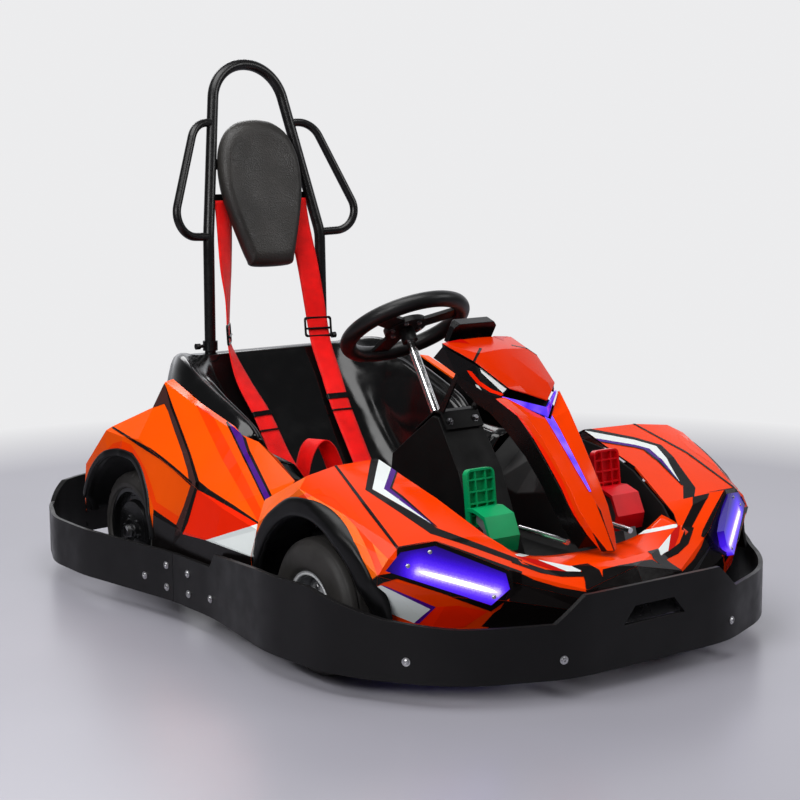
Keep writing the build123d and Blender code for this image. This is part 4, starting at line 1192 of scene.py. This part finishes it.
def nose_shelf():
    rows = list(SHELF) + [(-x, fy, fz, ry, rz) for x, fy, fz, ry, rz in reversed(SHELF[:-1])]
    lines = smooth_line(rows, 5)
    points = []
    for x, fy, fz, ry, rz in lines:
        for share in np.linspace(0, 1, SHELF_COLUMNS):
            crown = SHELF_CROWN * sin(pi * share)
            points.append(Vector((x, fy + (ry - fy) * share, fz + (rz - fz) * share + crown)) * MM)
    mesh = add_mesh("nose_shelf", points, grid_faces(len(lines), SHELF_COLUMNS), smooth=True)
    if mesh.polygons[0].normal.z < 0:
        mesh.flip_normals()
    thicken(add_piece("nose_shelf", mesh, "orange_deep"), SHELF_T, -1)


# Black closing strips between the hood and the cheeks


# Pixels of the near one's ends, and where it stands
SEAL_PIXELS = ((443.0, 346.5), (470.0, 361.0))
SEAL_X = -0.074
SEAL_T = 0.004
# How far it reaches below the line between its ends, and the share of that above the line
SEAL_DROP, SEAL_RISE = 0.012, 0.35


def hood_seals():
    rays = [pixel_ray(pixel) for pixel in SEAL_PIXELS]
    ends = [CAMERA_AT + ray * ((SEAL_X - CAMERA_AT.x) / ray.x) for ray in rays]
    drop = Vector((0, 0, SEAL_DROP))
    points = [ends[0] - drop, ends[1] - drop, ends[1] + drop * SEAL_RISE, ends[0] + drop * SEAL_RISE]
    form = mirrored(points, [(0, 1, 2, 3)])
    thicken(add_piece("hood_seals", form, "black_moulded"), SEAL_T)


# Screws and lamp tubes, where the photograph shows them


BUMPER_SCREWS = ((144.9, 575.2), (166.3, 565.0), (167.0, 586.9), (187.6, 573.8), (188.6, 594.1),
                 (210.4, 599.0), (406.0, 662.0), (564.0, 660.0))
PLATE_SCREWS = ((449.8, 421.6), (475.0, 417.8))
LENS_SCREWS = ((408.0, 566.0), (430.0, 552.0), (494.0, 597.0))
# Heads as radius and height
SCREW_HEAD = ((0.0078, 0), (0.0078, 0.0012), (0.0058, 0.0016), (0.0052, 0.0034), (0.0034, 0.0042),
              (0.0026, 0.0042), (0.0024, 0.0022))
SMALL_HEAD = tuple((r * 0.5, h * 0.6) for r, h in SCREW_HEAD)
PLATE_HEAD = ((0.0085, 0), (0.0085, 0.001), (0.0062, 0.0016), (0.0062, 0.005), (0.0045, 0.006))

# The tube that shines behind the headlight's lens
TUBE_ENDS = ((419.0, 571.5), (497.0, 592.5))
TUBE_STEPS = 24
TUBE_ACROSS = (-1, -0.5, 0, 0.5, 1)
TUBE_HALF, TUBE_CROWN, TUBE_LIFT = 0.0042, 0.0012, 0.0006


def surface_point(pixel, *names):
    """Where the camera's ray through a pixel first meets the named nodes: place and outward normal."""
    best = None
    for name in names:
        place, normal, _, reach = tree_of(nodes[name].data).ray_cast(CAMERA_AT, pixel_ray(pixel))
        if place is not None and (best is None or reach < best[2]):
            facing = normal if normal.dot(CAMERA_AT - place) > 0 else -normal
            best = (place, facing, reach)
    return best[:2]


def heads_at(pixels, head, steps, *names):
    return join([turned(head, steps, *surface_point(pixel, *names)) for pixel in pixels])


def screws():
    bumper = heads_at(BUMPER_SCREWS, SCREW_HEAD, 16, "bumper_front", "bumper_rear")
    plate = heads_at(PLATE_SCREWS, PLATE_HEAD, 6, "column_plate")
    lens = heads_at(LENS_SCREWS, SMALL_HEAD, 12, "headlight_right", "front_cowl")
    add_piece("bumper_screws", mirrored(*bumper), "bright_steel")
    add_piece("plate_screws", plate, "dark_steel")
    add_piece("lens_screws", mirrored(*lens), "bright_steel")


def lamp_tubes():
    found = [surface_point(pixel, "headlight_right") for pixel in TUBE_ENDS]
    start, end = (place + facing * TUBE_LIFT for place, facing in found)
    normal = found[-1][1]
    across = normal.cross((end - start).normalized())
    points = []
    for k in range(TUBE_STEPS + 1):
        share = k / TUBE_STEPS
        width = TUBE_HALF * min(1.0, (4 * share * (1 - share)) ** 0.4 + 0.05)
        middle = start.lerp(end, share)
        for j in TUBE_ACROSS:
            points.append(middle + across * (width * j) + normal * (TUBE_CROWN * (1 - j * j)))
    form = mirrored(points, grid_faces(TUBE_STEPS + 1, len(TUBE_ACROSS)))
    add_piece("headlight_tubes", form, "tube", smooth=True)


# Steering wheel's bolts


STEERING_HUB = Vector((0, -0.047, 0.575))
STEERING_LEAN = radians(32.24)
# Bolt heads as radius and height, and where they sit round the hub and below it
WHEEL_HEAD = ((0.005, 0), (0.005, 0.003), (0.0035, 0.004))
WHEEL_BOLTS, WHEEL_BOLT_R, WHEEL_BOLT_DROP = 6, 0.033, 0.006


def wheel_details():
    across, down = Vector((1, 0, 0)), Vector((0, -sin(STEERING_LEAN), -cos(STEERING_LEAN)))
    bolts = []
    for k in range(WHEEL_BOLTS):
        turn = 2 * pi * k / WHEEL_BOLTS
        side = across * cos(turn) + across.cross(down) * sin(turn)
        bolts.append(turned(WHEEL_HEAD, 8, STEERING_HUB + side * WHEEL_BOLT_R + down * WHEEL_BOLT_DROP, down))
    add_piece("steering_bolts", join(bolts), "bright_steel", "steering")


# Studio


# The way to the pale wall, seen from the kart, and the world's light elsewhere and there
WALL_BEHIND = (0.585, 0.795, 0.16)
WORLD_DIM = 0.1
WORLD_BRIGHT = 0.95
SURROUND = (0.84, 0.84, 0.85, 1)
FLOOR_R = 14
# The floor fades into the surround between these distances from its middle
FADE_FROM, FADE_TO = 1.75, 2.5

# Area lights: place, target, size and power
LIGHTS = {
    "ceiling_panel": ((-0.6, -0.4, 3.2), (0, 0, 0), (3.0, 1.6), 79),
    "front_panel": ((-3.0, -1.4, 2.2), (0, 0, 0.3), (1.8, 1.4), 57),
    "far_panel": ((2.6, -2.4, 2.4), (0, 0, 0.3), (1.6, 1.2), 30),
    "back_panel": ((0.8, 3.0, 2.6), (0, 0, 0.5), (2.2, 1.0), 30),
}


def mix_shaders(tree, share, first, second, output):
    """The first shader where the share is 0 and the second where it is 1."""
    mix = tree.nodes.new("ShaderNodeMixShader")
    for source, socket in zip((share, first.outputs[0], second.outputs[0]), mix.inputs):
        tree.links.new(source, socket)
    tree.links.new(mix.outputs[0], tree.nodes[output].inputs["Surface"])


def make_stage():
    """A pale floor that fades to a white surround, seen the same from every side."""
    bpy.ops.mesh.primitive_circle_add(vertices=96, radius=FLOOR_R, fill_type="NGON")
    floor = bpy.context.object
    floor.name = "studio_floor"
    surface = Surface("studio_floor", (0.36, 0.352, 0.4), 0.3)
    surface.tint(surface.noise(1.6, 3), 0.03)
    far = surface.add("ShaderNodeVectorMath", operation="LENGTH")
    surface.link(surface.place, far.inputs[0])
    seen = surface.add("ShaderNodeMath", operation="MULTIPLY")
    surface.link(surface.span(far.outputs["Value"], 0, 1, FADE_FROM, FADE_TO), seen.inputs[0])
    surface.link(surface.add("ShaderNodeLightPath").outputs["Is Camera Ray"], seen.inputs[1])
    white = surface.add("ShaderNodeEmission", {"Color": SURROUND})
    mix_shaders(surface.tree, seen.outputs[0], surface.shader, white, "Material Output")
    floor.data.materials.append(surface.material)


def make_world():
    """Dim all round, and bright where the pale wall stands behind the kart; white to the camera."""
    world = bpy.data.worlds.new("studio_world")
    bpy.context.scene.world = world
    world.use_nodes = True
    tree = world.node_tree
    lit = tree.nodes["Background"]
    lit.inputs["Color"].default_value = (0.95, 0.96, 1.0, 1)
    place = add_node(tree, "ShaderNodeTexCoord")
    behind = add_node(tree, "ShaderNodeVectorMath", {1: WALL_BEHIND}, operation="DOT_PRODUCT")
    tree.links.new(place.outputs["Generated"], behind.inputs[0])
    share = add_node(tree, "ShaderNodeMapRange",
                     {"From Min": 0.5, "From Max": 0.92, "To Min": WORLD_DIM, "To Max": WORLD_BRIGHT},
                     interpolation_type="SMOOTHSTEP")
    tree.links.new(behind.outputs["Value"], share.inputs["Value"])
    tree.links.new(share.outputs["Result"], lit.inputs["Strength"])
    shown = add_node(tree, "ShaderNodeBackground", {"Color": SURROUND})
    seen = add_node(tree, "ShaderNodeLightPath").outputs["Is Camera Ray"]
    mix_shaders(tree, seen, lit, shown, "World Output")


def make_lights():
    for name, (place, target, size, power) in LIGHTS.items():
        data = bpy.data.lights.new(name, "AREA")
        data.shape = "RECTANGLE"
        data.size, data.size_y = size
        data.energy = power
        light = bpy.data.objects.new(name, data)
        bpy.context.scene.collection.objects.link(light)
        light.location = place
        light.rotation_euler = (Vector(target) - Vector(place)).to_track_quat("-Z", "Y").to_euler()


def main():
    bpy.context.scene.view_settings.view_transform = "Standard"
    make_camera()
    make_world()
    make_lights()
    make_stage()
    dress_nodes()
    nose_shelf()
    films()
    seat()
    headrest()
    harness()
    wheels()
    liners()
    arch_lips()
    hood_seals()
    screws()
    lamp_tubes()
    wheel_details()


main()
